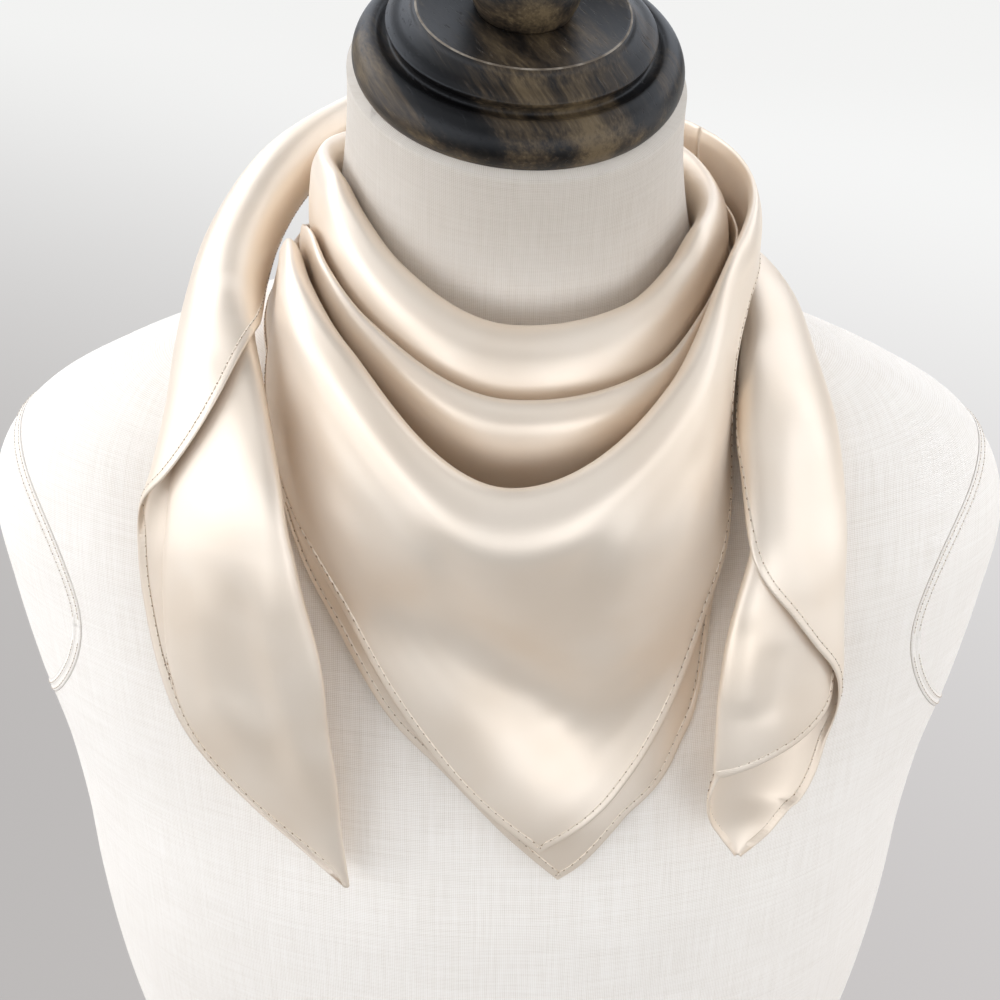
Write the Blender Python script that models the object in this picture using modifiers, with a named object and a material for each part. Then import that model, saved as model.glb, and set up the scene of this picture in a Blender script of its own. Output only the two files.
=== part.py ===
"""Silk square scarf, folded on its diagonal and wound round the neck of a limbless dress form.

The form stands on z = 0 at the origin and faces -Y.  The scarf is modelled in the stretches
that show: a collar roll, a middle fold, the cowl panel with the second layer under it, two
wraps that cross at the nape, and the two tails that hang over the shoulders.
"""

import math
from typing import NamedTuple

import bpy
import bmesh
import numpy as np
from mathutils import Vector
from mathutils.bvhtree import BVHTree

MM = 0.001
COLLECTION = "silk_square_scarf"

# ---------------------------------------------------------------- driving sizes, millimetres
CLOTH = 1.2                 # wall of every cloth solid
SEAM = 0.35                 # space left between two stretches of the same cloth
LAYER = 2.0                 # from one cloth layer's middle to the next one's
TURN_LAYER = 3.2            # the same between the turns of a wound tail
FORM_CLEARANCE = 1.15       # least distance from the form's skin to a cloth wall's middle
NECK_OFFSET = 3.0           # the neck stands this far to +X of the torso's middle
NECK_TOP_RADIUS = 56.0
NECK_TOP_X = 4.0
NECK_TOP_Y = -19.5
NECK_TOP_Z = 521.5
NECK_TILT = 18.0            # degrees, the neck's top leans forward
NECK_LEAN = 4.0             # degrees, and a little to the form's left
HEM_CORNER_ANGLE = 6.3      # degrees round from the front, where the cowl's corner hangs
UNDER_CORNER_ANGLE = 10.0
FRONT_END_ANGLE = 120.0     # the front folds run this far round on both sides


class FormSection(NamedTuple):
    """A level section of the dress form: half width and reach, in mm."""

    height: float
    half_width: float
    front: float
    back: float


FORM_SECTIONS = (
    FormSection(0.0, 141, 88, 82),
    FormSection(30.0, 143, 90, 83),
    FormSection(70.0, 151, 97, 87),
    FormSection(107.0, 159.5, 105, 91),
    FormSection(150.0, 166, 114, 95),
    FormSection(190.0, 169.5, 119.5, 98),
    FormSection(225.0, 171.5, 119, 101),
    FormSection(257.0, 176, 114, 103.5),
    FormSection(290.0, 184, 108, 105),
    FormSection(325.0, 190, 101, 104),
    FormSection(352.0, 193, 95, 100),
    FormSection(375.0, 187.5, 88, 95),
    FormSection(392.0, 174.5, 82, 89),
    FormSection(405.0, 153, 77, 83),
    FormSection(416.0, 127, 73, 78),
    FormSection(425.0, 103, 70, 74),
    FormSection(434.0, 82.5, 67, 70),
    FormSection(445.0, 68, 64.5, 65.5),
)
NECK_ROWS = 5
OFFSET_FROM = 375.0         # height where the sections start to move over to the neck


class FoldSection(NamedTuple):
    """A section through the front folds at one angle round the neck, reaches and heights in mm."""

    angle: float
    collar_in: float
    collar_top: float
    collar_out: float
    middle_top: float
    middle_out: float
    cowl_in: float
    cowl_top: float
    cowl_out: float


FOLD_SECTIONS = (
    FoldSection(-120, 59.5, 486, 70.0, 457, 72.4, 74.5, 453, 80.0),
    FoldSection(-90, 60.5, 491, 69.5, 461, 72.5, 75.0, 453, 80.5),
    FoldSection(-75, 61.0, 493, 71.0, 468, 75.5, 78.0, 461, 83.0),
    FoldSection(-60, 62.0, 492, 73.0, 473, 79.0, 81.5, 471, 89.0),
    FoldSection(-47, 63.5, 485, 77.5, 468, 85.0, 88.5, 468, 101.0),
    FoldSection(-30, 66.0, 473, 84.0, 458, 93.5, 99.0, 457, 115.0),
    FoldSection(0, 69.5, 458, 90.5, 441, 104.0, 112.0, 422, 132.0),
    FoldSection(30, 69.0, 461, 87.0, 445, 98.0, 101.0, 448, 116.0),
    FoldSection(47, 68.0, 470, 82.5, 456, 88.0, 91.0, 472, 98.5),
    FoldSection(60, 66.5, 477, 79.0, 463, 82.5, 85.0, 477, 93.0),
    FoldSection(90, 64.0, 479, 75.5, 466, 78.0, 80.0, 483, 84.5),
    FoldSection(120, 62.5, 483, 73.0, 468, 75.5, 77.5, 486, 82.0),
)
# angle, collar_in, collar_top and collar_out round the nape, where only the collar roll runs on
COLLAR_NAPE = ((-180, 57.0, 490, 66.0), (-150, 57.5, 489, 66.8), (150, 59.0, 487, 67.5),
               (180, 57.0, 490, 66.0))


class PanelSection(NamedTuple):
    """Reach of the cowl panel at one angle, in mm, at four heights."""

    angle: float
    at_400: float
    at_360: float
    at_320: float
    at_280: float


PANEL_SECTIONS = (
    PanelSection(-60, 100, 103, 106, 108),
    PanelSection(-45, 112, 112.5, 114.5, 116.5),
    PanelSection(-30, 121.5, 118, 118.5, 121),
    PanelSection(0, 131, 121.5, 116, 119.5),
    PanelSection(30, 121, 118, 118.5, 121),
    PanelSection(45, 106.5, 117, 120, 121),
    PanelSection(60, 90, 100, 110, 115),
)
PANEL_HEIGHTS = (400.0, 360.0, 320.0, 280.0)


class ChestSection(NamedTuple):
    """Where the hanging panel comes to lie on the chest: its height and the dent there, in mm."""

    angle: float
    height: float
    depth: float


CHEST_SECTIONS = (
    ChestSection(-42, 386, 0.0),
    ChestSection(-30, 378, 3.0),
    ChestSection(-16, 367, 8.0),
    ChestSection(-8, 361, 10.5),
    ChestSection(0, 348, 12.0),
    ChestSection(9, 334, 11.5),
    ChestSection(18, 324, 7.0),
    ChestSection(25, 334, 5.0),
    ChestSection(32, 352, 2.5),
    ChestSection(42, 368, 0.0),
)
CHEST_SPREAD = 26.0         # of the dent above and below its height
PANEL_KNOTS = 12            # points of the curve down the panel

# angle round from the front in degrees and height in mm, along each hem of the cowl
HEM_LEFT = ((-120, 440), (-90, 441), (-60, 431), (-36.2, 393), (-28.2, 366.5), (-18.6, 334.5),
            (-7.4, 302.7), (HEM_CORNER_ANGLE, 275.2))
HEM_RIGHT = ((HEM_CORNER_ANGLE, 275.2), (20.3, 296.2), (27.7, 318.4), (32.7, 342.3), (36.3, 365.3),
             (41.5, 388.5), (45, 405), (46.9, 422), (50, 441), (62, 455), (90, 458), (120, 457))
UNDER_LEFT = ((-42.5, 396), (-37.6, 376.5), (-28.5, 351.7), (-19.7, 325), (-10.3, 305.5),
              (0, 282.3), (UNDER_CORNER_ANGLE, 259.8))
UNDER_RIGHT = ((UNDER_CORNER_ANGLE, 259.8), (13.6, 265), (21, 281.8), (31.7, 306.8), (36.2, 333.4),
               (38.1, 361.8), (41.8, 392.3))


class TailSection(NamedTuple):
    """A section across a tail: its middle in mm, size, facing in degrees and hems in half turns."""

    x: float
    y: float
    z: float
    half_width: float
    half_depth: float
    azimuth: float          # of the tail's face, 0 towards the front, positive to +X
    lift: float
    first_hem: float
    last_hem: float
    inset: float            # how much narrower the inner layer is at the outer side


LEFT_WRAP = (
    TailSection(43.5, 75.3, 473.5, 18.0, 4.5, 150, 5, -0.96, 0.98, 0),
    TailSection(0.0, 89.7, 477.8, 16.5, 5.5, 180, 5, -0.98, 1.02, 0),
    TailSection(-38.3, 81.5, 479.0, 14.5, 7.0, 205, 5, -0.95, 1.08, 0),
    TailSection(-65.5, 55.5, 476.5, 12.5, 9.0, 230, 12, -0.85, 1.15, 0),
    TailSection(-80.8, 30.0, 472.5, 12.0, 11.0, 255, 22, -0.70, 1.30, 0),
)
LEFT_TAIL = (
    TailSection(-93.5, -6.0, 460.0, 12.5, 12.0, 285, 38, -0.50, 1.60, 0),
    TailSection(-96.5, -41.0, 449.5, 13.5, 12.5, 308, 40, -0.25, 2.10, 0),
    TailSection(-96.0, -61.0, 442.0, 17.0, 12.0, 313, 34, -0.06, 2.60, 0),
    TailSection(-94.5, -81.0, 430.0, 22.5, 10.5, 315, 28, 0.30, 3.00, 2),
    TailSection(-94.3, -96.5, 410.0, 28.0, 9.0, 322, 22, 0.68, 3.18, 6),
    TailSection(-95.1, -102.5, 391.0, 31.4, 8.0, 330, 12, 0.98, 3.22, 9),
    TailSection(-94.3, -106.0, 370.0, 33.6, 7.5, 334.6, 6, 1.08, 3.20, 9),
    TailSection(-90.6, -109.5, 349.0, 33.4, 7.0, 338, 4, 1.08, 3.10, 5),
    TailSection(-86.0, -112.5, 328.0, 30.1, 6.0, 341, 1, 1.06, 2.98, 1),
    TailSection(-73.6, -116.0, 298.3, 19.9, 5.0, 342, -2, 1.04, 2.94, 0),
    TailSection(-62.6, -117.5, 275.2, 8.6, 3.4, 343, -3, 1.00, 2.90, 0),
    TailSection(-54.5, -119.0, 258.5, 1.6, 1.6, 344, -3, 1.00, 2.86, 0),
)
RIGHT_WRAP = (
    TailSection(-37.5, 65.5, 455.0, 13.0, 5.0, -150, 5, -0.93, 0.93, 0),
    TailSection(0.0, 75.5, 461.0, 14.5, 5.2, -180, 5, -0.94, 0.94, 0),
    TailSection(37.8, 65.6, 454.5, 12.0, 4.8, -210, 4, -0.92, 0.98, 0),
    TailSection(66.0, 46.0, 442.0, 11.5, 5.0, -240, 45, -0.80, 1.15, 0),
    TailSection(82.0, 20.0, 445.0, 13.0, 6.5, -262, 56, -0.60, 1.45, 0),
)
RIGHT_TAIL = (
    TailSection(91.0, -8.0, 440.5, 13.5, 7.5, -280, 58, -0.45, 1.70, 0),
    TailSection(93.2, -35.5, 432.0, 15.5, 8.5, -298, 52, -0.30, 2.10, 0),
    TailSection(94.0, -58.0, 422.5, 19.5, 9.0, -312, 42, -0.20, 2.50, 0),
    TailSection(94.6, -77.5, 406.5, 21.5, 9.5, -318, 33, -0.10, 2.80, 0),
    TailSection(95.5, -91.0, 388.0, 22.0, 9.5, -322, 20, 0.02, 3.05, 2),
    TailSection(94.0, -99.0, 367.5, 23.5, 9.0, -327, 15, 0.40, 3.10, 4),
    TailSection(93.3, -103.5, 354.5, 24.5, 8.5, -330, 13, 0.60, 3.05, 3),
    TailSection(93.2, -107.5, 338.0, 24.5, 7.5, -334, 11, 0.83, 2.96, 0),
    TailSection(91.5, -111.5, 322.0, 22.0, 7.0, -338, 9, 0.99, 2.62, 0),
    TailSection(89.5, -114.5, 307.0, 19.6, 6.0, -341, 6, 1.02, 2.14, 0),
    TailSection(86.1, -116.5, 297.5, 17.1, 5.0, -343, 3, 1.03, 2.03, 0),
    TailSection(84.3, -117.0, 284.5, 9.9, 3.6, -346, 2, 1.00, 1.98, 0),
    TailSection(82.9, -118.0, 274.5, 1.6, 1.6, -348, 2, 1.00, 1.95, 0),
)

# ---------------------------------------------------------------- mesh fineness
COLLAR_COLUMNS = 44
FOLD_COLUMNS = 36
PANEL_ROWS = 12
CREST_ROWS = 9
TAIL_ROWS = 22
UNDER_COLUMNS = 18
UNDER_ROWS = 9
FORM_COLUMNS = 34
FORM_ROWS = 22

# ---------------------------------------------------------------- turned cap and finial, mm
CAP_PROFILE = ((0.0, 24.1), (33.4, 24.1), (34.3, 24.5), (35.0, 24.1), (36.2, 22.4), (39.0, 20.4),
               (42.8, 19.0), (43.8, 17.6), (43.0, 15.9), (45.0, 15.3), (48.0, 14.9), (51.6, 12.6),
               (53.7, 9.0), (54.3, 5.4), (53.5, 2.2), (52.2, 0.0), (0.0, 0.0))
FINIAL_PROFILE = ((0.0, 51.6), (5.6, 50.7), (10.8, 47.9), (15.1, 43.3), (17.6, 37.4), (17.9, 32.0),
                  (16.9, 27.6), (15.4, 24.45), (0.0, 24.45))
CAP_GAP = 0.35
TURN_STEPS = 28


# ================================================================ helpers
def clear_scene():
    """Remove every object of the open file."""
    for item in list(bpy.data.objects):
        bpy.data.objects.remove(item, do_unlink=True)


def material(name, colour, roughness, metallic=0.0):
    """A Principled material of one plain colour."""
    made = bpy.data.materials.new(name)
    made.use_nodes = True
    shader = made.node_tree.nodes["Principled BSDF"]
    shader.inputs["Base Color"].default_value = (*colour, 1.0)
    shader.inputs["Roughness"].default_value = roughness
    shader.inputs["Metallic"].default_value = metallic
    return made


def add_object(name, mesh, finish):
    """Put a mesh into the part's collection as one named, smooth object."""
    item = bpy.data.objects.new(name, mesh)
    bpy.data.collections[COLLECTION].objects.link(item)
    mesh.materials.append(finish)
    mesh.shade_smooth()
    return item


def spline(knots, values, at):
    """Cubic Hermite curve through values at rising knots, with no overshoot between them."""
    knots = np.asarray(knots, float)
    values = np.asarray(values, float)
    at = np.clip(np.asarray(at, float), knots[0], knots[-1])
    flat = values.reshape(len(knots), -1)
    step = np.diff(knots)[:, None]
    slope = np.diff(flat, axis=0) / step
    tangent = np.zeros_like(flat)
    tangent[1:-1] = (slope[:-1] * step[1:] + slope[1:] * step[:-1]) / (step[:-1] + step[1:])
    limit = 2.5 * np.minimum(np.abs(slope[:-1]), np.abs(slope[1:]))
    turned = slope[:-1] * slope[1:] <= 0
    limit = np.where(turned, 0.35 * np.abs(tangent[1:-1]), np.maximum(limit, 0.0))
    tangent[1:-1] = np.clip(tangent[1:-1], -limit, limit)
    tangent[0], tangent[-1] = slope[0], slope[-1]
    place = np.clip(np.searchsorted(knots, at, side="right") - 1, 0, len(knots) - 2)
    width = step[place]
    t = ((at - knots[place]) / width[:, 0])[:, None]
    made = ((2 * t**3 - 3 * t**2 + 1) * flat[place] + (t**3 - 2 * t**2 + t) * width * tangent[place]
            + (3 * t**2 - 2 * t**3) * flat[place + 1] + (t**3 - t**2) * width * tangent[place + 1])
    return made.reshape((len(at),) + values.shape[1:])


def smooth_curve(points, count):
    """Resample a polyline of points to count points on a smooth curve, even in length."""
    points = np.asarray(points, float)
    length = np.concatenate(([0.0], np.cumsum(np.linalg.norm(np.diff(points, axis=0), axis=1))))
    tangent = np.gradient(points, length, axis=0)
    fine = np.linspace(0.0, length[-1], 12 * len(points))
    place = np.clip(np.searchsorted(length, fine, side="right") - 1, 0, len(points) - 2)
    width = np.diff(length)[place][:, None]
    t = (fine - length[place])[:, None] / width
    curve = ((2 * t**3 - 3 * t**2 + 1) * points[place] + (t**3 - 2 * t**2 + t) * width * tangent[place]
             + (3 * t**2 - 2 * t**3) * points[place + 1]
             + (t**3 - t**2) * width * tangent[place + 1])
    walked = np.concatenate(([0.0], np.cumsum(np.linalg.norm(np.diff(curve, axis=0), axis=1))))
    even = np.linspace(0.0, walked[-1], count)
    return np.stack([np.interp(even, walked, curve[:, k]) for k in range(points.shape[1])], axis=1)


def around(angle_degrees, reach, height):
    """A point at an angle round the neck from the front (-Y), in mm."""
    angle = np.radians(angle_degrees)
    return np.stack([reach * np.sin(angle), -reach * np.cos(angle), height + 0.0 * reach], axis=-1)


def smoothstep(value):
    """Ease from 0 to 1."""
    value = np.clip(value, 0.0, 1.0)
    return value * value * (3.0 - 2.0 * value)


# ================================================================ dress form
def neck_frame(share):
    """Centre, radius and axes of a neck section, share 0 at the base and 1 at the cut top."""
    base = FORM_SECTIONS[-1]
    height = base.height + (NECK_TOP_Z - base.height) * share
    aside = NECK_OFFSET + (NECK_TOP_X - NECK_OFFSET) * share
    centre = np.array([aside, NECK_TOP_Y * share**1.3, height])
    tilt = math.radians(NECK_TILT) * smoothstep(share)
    lean = math.radians(NECK_LEAN) * smoothstep(share)
    across = np.array([math.cos(lean), 0.0, -math.sin(lean)])
    forward = np.array([0.0, -math.cos(tilt), -math.sin(tilt)])
    return centre, across, forward


def ring_points(centre, across, forward, half_width, front, back):
    """A closed ring, wider than deep, with its own reach to the front and to the back."""
    turn = np.linspace(0.0, 2.0 * math.pi, FORM_COLUMNS, endpoint=False)
    depth = np.where(np.cos(turn) > 0, front, back)
    return (centre + np.sin(turn)[:, None] * half_width * across
            + (np.cos(turn) * depth)[:, None] * forward)


def build_form(finish):
    """The torso and neck: one loft from the flat base to the tilted neck top."""
    table = np.array(FORM_SECTIONS, float)
    heights = np.linspace(0.0, 1.0, FORM_ROWS)
    travelled = np.concatenate(([0.0], np.cumsum(np.hypot(np.diff(table[:, 0]),
                                                          np.diff(table[:, 1])))))
    rows = spline(travelled, table, heights * travelled[-1])
    rings = []
    for height, half_width, front, back in rows:
        shift = NECK_OFFSET * smoothstep((height - OFFSET_FROM) / (table[-1, 0] - OFFSET_FROM))
        rings.append(ring_points(np.array([shift, 0.0, height]), np.array([1.0, 0.0, 0.0]),
                                 np.array([0.0, -1.0, 0.0]), half_width, front, back))
    last = FORM_SECTIONS[-1]
    for step in range(1, NECK_ROWS + 1):
        share = step / NECK_ROWS
        ease = 1.0 - (1.0 - share)**2
        centre, across, forward = neck_frame(share)
        sizes = [start + (NECK_TOP_RADIUS - start) * ease
                 for start in (last.half_width, last.front, last.back)]
        rings.append(ring_points(centre, across, forward, *sizes))
    points = np.concatenate(rings) * MM
    faces = []
    for row in range(len(rings) - 1):
        for column in range(FORM_COLUMNS):
            beside = (column + 1) % FORM_COLUMNS
            low, high = row * FORM_COLUMNS, (row + 1) * FORM_COLUMNS
            faces.append((low + column, high + column, high + beside, low + beside))
    faces.append(tuple(range(FORM_COLUMNS)))
    top = (len(rings) - 1) * FORM_COLUMNS
    faces.append(tuple(top + column for column in reversed(range(FORM_COLUMNS))))
    mesh = bpy.data.meshes.new("dress_form")
    mesh.from_pydata(points.tolist(), [], faces)
    flip_outward(mesh)
    return add_object("dress_form", mesh, finish)


def flip_outward(mesh):
    """Make a closed mesh's faces agree and point out."""
    work = bmesh.new()
    work.from_mesh(mesh)
    bmesh.ops.recalc_face_normals(work, faces=work.faces)
    work.to_mesh(mesh)
    work.free()


def build_turned(name, profile, finish, empty):
    """A turned piece on the neck's tilted axis: a profile with a Screw modifier."""
    mesh = bpy.data.meshes.new(name)
    points = [(radius * MM, 0.0, height * MM) for radius, height in profile]
    mesh.from_pydata(points, [(k, k + 1) for k in range(len(points) - 1)], [])
    item = add_object(name, mesh, finish)
    item.parent = empty
    screw = item.modifiers.new("turn", "SCREW")
    screw.angle = 2.0 * math.pi
    screw.steps = screw.render_steps = TURN_STEPS
    screw.use_merge_vertices = True
    screw.merge_threshold = 0.00001
    screw.use_smooth_shade = True
    return item


def neck_axis():
    """An empty on the neck's cut top, with +Z along the neck's axis."""
    centre, across, forward = neck_frame(1.0)
    empty = bpy.data.objects.new("neck_axis", None)
    bpy.data.collections[COLLECTION].objects.link(empty)
    up = Vector(np.cross(forward, across)).normalized()
    empty.rotation_euler = up.to_track_quat("Z", "Y").to_euler()
    empty.location = Vector(centre * MM) + up * CAP_GAP * MM
    return empty


# ================================================================ cloth
class Skin:
    """The form's surface, which keeps cloth clear of it."""

    def __init__(self, form):
        """Take the form's mesh into a search tree."""
        work = bmesh.new()
        work.from_mesh(form.data)
        self.tree = BVHTree.FromBMesh(work)
        work.free()

    def clear(self, grid, distance=FORM_CLEARANCE):
        """Set a grid beside the form's neck, each point at least distance from the form."""
        flat = grid.reshape(-1, 3) + np.array([NECK_OFFSET, 0.0, 0.0])
        for index, point in enumerate(flat):
            place, normal, _, _ = self.tree.find_nearest(Vector(point * MM))
            away = (Vector(point * MM) - place).dot(normal) / MM
            if away < distance:
                flat[index] = point + (distance - away) * np.array(normal)
        return flat.reshape(grid.shape)


def cloth_sheet(name, grid, finish, closed=False):
    """An open surface through a grid of points (columns, rows), with Solidify for its wall."""
    columns, rows = grid.shape[:2]
    mesh = bpy.data.meshes.new(name)
    faces = []
    for column in range(columns if closed else columns - 1):
        beside = (column + 1) % columns
        for row in range(rows - 1):
            faces.append((column * rows + row, beside * rows + row, beside * rows + row + 1,
                          column * rows + row + 1))
    mesh.from_pydata((grid.reshape(-1, 3) * MM).tolist(), [], faces)
    item = add_object(name, mesh, finish)
    wall = item.modifiers.new("wall", "SOLIDIFY")
    wall.thickness = CLOTH * MM
    wall.offset = 0.0
    return item


def fold_table(angles):
    """The fold sections at the given angles."""
    table = np.array(FOLD_SECTIONS, float)
    return spline(table[:, 0], table, angles)


def front_share(angle):
    """1 at the front of the neck, falling to 0 at its sides."""
    return smoothstep(1.0 - abs(angle) / 75.0)


def collar_section(inner, top, outer):
    """The collar roll: up its inner face, over the top and down its outer face."""
    width = outer - inner
    return ((inner + 0.6, top - 19), (inner, top - 11), (inner + 0.20 * width, top - 3.0),
            (inner + 0.5 * width, top), (inner + 0.83 * width, top - 4.0), (outer, top - 12),
            (outer + 0.8, top - 24))


def middle_walls(row):
    """Reaches of the middle fold's inner and outer wall."""
    inner = row.collar_out + LAYER + 0.4
    return inner, max(row.middle_out, inner + 1.9)


def middle_section(row, front):
    """The middle fold: out of the valley behind the collar, over its ridge and down its face."""
    inner, outer = middle_walls(row)
    top = row.middle_top
    width = outer - inner
    drop = 10 + 32 * front
    return ((inner + 0.4, top - 8 - 5 * front), (inner, top - 5), (inner + 0.45 * width, top),
            (outer - 0.1 * width, top - 4.5), (outer, top - 6 - 7 * front),
            (outer - 3.0 * front, top - 0.65 * drop), (outer - 5.0 * front, top - drop))


def beside_middle(row, front, height):
    """Least reach at a height for cloth that lies outside the middle fold."""
    face = middle_section(row, front)[:3:-1]
    return float(np.interp(height, [z for _, z in face], [r for r, _ in face])) + LAYER + 0.5


def cowl_crest(row, front):
    """The cowl's ridge: up out of the pocket and over to the top of the panel."""
    inner = max(row.cowl_in, middle_walls(row)[1] + LAYER + 0.3)
    top, outer = row.cowl_top, row.cowl_out
    width = outer - inner
    crest = 3.5 + 4.5 * front
    drop = 16 + 22 * front
    foot = max(inner - 7.5 * front, beside_middle(row, front, top - drop))
    knee = max(inner - 3.8 * front, beside_middle(row, front, top - 0.6 * drop))
    return ((foot, top - drop), (knee, top - 0.6 * drop),
            (inner, top - crest), (inner + 0.45 * width, top), (outer - 0.12 * width, top - crest),
            (outer, top - 2.1 * crest))


def hem_height(angles, left, right):
    """Height of a hem that comes down to a corner from both sides."""
    left, right = np.array(left, float), np.array(right, float)
    angles = np.asarray(angles, float)
    return np.where(angles <= left[-1, 0], spline(left[:, 0], left[:, 1], angles),
                    spline(right[:, 0], right[:, 1], angles))


def panel_reach(angle, top_height, top_reach, heights):
    """Reach of the cowl panel at an angle, from its crest down."""
    table = np.array(PANEL_SECTIONS, float)
    low = spline(table[:, 0], table[:, 1:], [angle])[0]
    knots = [top_height] + [h for h in PANEL_HEIGHTS if h < top_height - 8.0]
    reach = [top_reach] + [r for h, r in zip(PANEL_HEIGHTS, low) if h < top_height - 8.0]
    hung = spline(np.negative(knots), reach, np.negative(heights))
    chest = np.array(CHEST_SECTIONS, float)
    middle, depth = spline(chest[:, 0], chest[:, 1:], [angle])[0]
    share = smoothstep((top_height - heights) / CHEST_SPREAD)
    return hung - depth * share * np.exp(-((heights - middle) / CHEST_SPREAD) ** 2)


def crest_foot(row, front):
    """Where the cowl's crest ends and its panel starts: reach and height."""
    return cowl_crest(row, front)[-1]


def cowl_section(angle, hem):
    """The whole cowl at one angle: crest, then panel down to the hem."""
    row = FoldSection(*fold_table([angle])[0])
    front = front_share(angle)
    crest = cowl_crest(row, front)
    reach, height = crest[-1]
    heights = np.linspace(height, hem, PANEL_KNOTS)[1:]
    panel = np.stack([panel_reach(angle, height, reach, heights), heights], axis=1)
    curve = smooth_curve(np.concatenate((crest, panel)), 160)
    return resample_from_foot(curve, height)


def resample_from_foot(curve, foot_height):
    """Give the crest and the panel their own even rows, so that ridges stay in line."""
    ridge = int(np.argmax(curve[:, 1]))
    below = np.where(curve[ridge:, 1] <= foot_height)[0]
    foot = ridge + int(below[0])
    crest = smooth_even(curve[:foot + 1], CREST_ROWS)
    panel = smooth_even(curve[foot:], PANEL_ROWS)
    return np.concatenate((crest, panel[1:]))


def smooth_even(curve, count):
    """Points spaced evenly along a fine polyline."""
    walked = np.concatenate(([0.0], np.cumsum(np.linalg.norm(np.diff(curve, axis=0), axis=1))))
    even = np.linspace(0.0, walked[-1], count)
    return np.stack([np.interp(even, walked, curve[:, k]) for k in range(curve.shape[1])], axis=1)


def build_collar(skin, finish):
    """The collar roll, a closed ring that the wraps cover at the nape."""
    table = np.array([(row.angle, row.collar_in, row.collar_top, row.collar_out)
                      for row in FOLD_SECTIONS], float)
    table = np.concatenate((COLLAR_NAPE[:2], table, COLLAR_NAPE[2:]))
    angles = np.linspace(-180.0, 180.0, COLLAR_COLUMNS, endpoint=False)
    grid = []
    for angle, inner, top, outer in spline(table[:, 0], table, angles):
        curve = smooth_curve(collar_section(inner, top, outer), 8)
        grid.append(around(angle, curve[:, 0], curve[:, 1]))
    return cloth_sheet("collar_roll", skin.clear(np.array(grid)), finish, closed=True)


def build_middle(skin, finish):
    """The middle fold, between the collar roll and the cowl."""
    grid = []
    for angle in np.linspace(4 - FRONT_END_ANGLE, FRONT_END_ANGLE - 4, FOLD_COLUMNS - 4):
        row = FoldSection(*fold_table([angle])[0])
        curve = smooth_curve(middle_section(row, front_share(angle)), 7)
        grid.append(around(angle, curve[:, 0], curve[:, 1]))
    return cloth_sheet("middle_fold", skin.clear(np.array(grid)), finish)


def cowl_angles():
    """Column angles of the cowl, with one column on the corner of the hem."""
    left = np.linspace(-FRONT_END_ANGLE, HEM_CORNER_ANGLE, FOLD_COLUMNS // 2 + 2)
    right = np.linspace(HEM_CORNER_ANGLE, FRONT_END_ANGLE, FOLD_COLUMNS // 2)
    return np.concatenate((left, right[1:]))


def cowl_grid(angles):
    """Points of the cowl at the given angles."""
    hems = hem_height(angles, HEM_LEFT, HEM_RIGHT)
    grid = []
    for angle, hem in zip(angles, hems):
        section = cowl_section(angle, hem)
        grid.append(around(angle, section[:, 0], section[:, 1]))
    return np.array(grid)


def build_under_layer(skin, finish):
    """The second layer of the folded square: the panel's own points, moved in, with a lower hem."""
    left = np.linspace(UNDER_LEFT[0][0], UNDER_CORNER_ANGLE, UNDER_COLUMNS // 2 + 2)
    right = np.linspace(UNDER_CORNER_ANGLE, UNDER_RIGHT[-1][0], UNDER_COLUMNS // 2)
    angles = np.concatenate((left, right[1:]))
    hems = hem_height(angles, UNDER_LEFT, UNDER_RIGHT)
    grid = []
    for angle, hem in zip(angles, hems):
        row = FoldSection(*fold_table([angle])[0])
        reach, height = crest_foot(row, front_share(angle))
        top = min(height - 6.0, hem + 95.0)
        heights = np.linspace(top, hem, UNDER_ROWS + 1)
        inward = panel_reach(angle, height, reach, heights) - 1.55 * LAYER
        grid.append(around(angle, inward, heights))
    return cloth_sheet("under_layer", skin.clear(np.array(grid)), finish)


def tail_section(row, towards, side, count):
    """Points of one tail section: a flattened spiral from the first hem round to the last."""
    azimuth, lift = math.radians(row.azimuth), math.radians(row.lift)
    face = np.array([math.sin(azimuth) * math.cos(lift), -math.cos(azimuth) * math.cos(lift),
                     math.sin(lift)])
    face = face - np.dot(face, towards) * towards
    face = face / np.linalg.norm(face)
    inward = side * np.cross(face, towards)
    turn = np.linspace(row.first_hem, row.last_hem, count) * math.pi
    wound = (turn - row.first_hem * math.pi - math.pi) / math.pi
    inner = smoothstep(wound) + 0.5 * np.clip(wound - 1.0, 0.0, None)
    width = row.half_width - TURN_LAYER * inner
    width = width - np.where(np.cos(turn) < 0, row.inset * smoothstep(wound), 0.0)
    width = np.maximum(width, 0.7)
    depth = np.maximum(row.half_depth - TURN_LAYER * inner, 0.35)
    centre = np.array([row.x, row.y, row.z])
    return (centre + (width * np.cos(turn))[:, None] * inward
            + (depth * np.sin(turn))[:, None] * face)


def wrap_grid(start, rows, side, between):
    """A loft from the cowl's end section along the wrap and tail sections."""
    table = np.array(rows, float)
    steps = np.linalg.norm(np.diff(table[:, :3], axis=0), axis=1)
    walked = np.concatenate(([0.0], np.cumsum(steps)))
    at = np.concatenate([np.linspace(walked[k], walked[k + 1], between, endpoint=False)
                         for k in range(len(steps))] + [walked[-1:]])
    fine = smooth_through(walked, table, at)
    direction = np.gradient(fine[:, :3], at, axis=0)
    direction = direction / np.linalg.norm(direction, axis=1)[:, None]
    sections = np.array([tail_section(TailSection(*row), towards, side, len(start))
                         for row, towards in zip(fine, direction)])
    gap = np.linalg.norm(sections[0].mean(axis=0) - start.mean(axis=0))
    knots = np.array([0.0, gap, gap + at[1] - at[0]])
    lead = smooth_through(knots, np.array([start, sections[0], sections[1]]),
                          np.linspace(0.0, gap, between + 1)[:-1])
    return np.concatenate((lead, sections))


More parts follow.
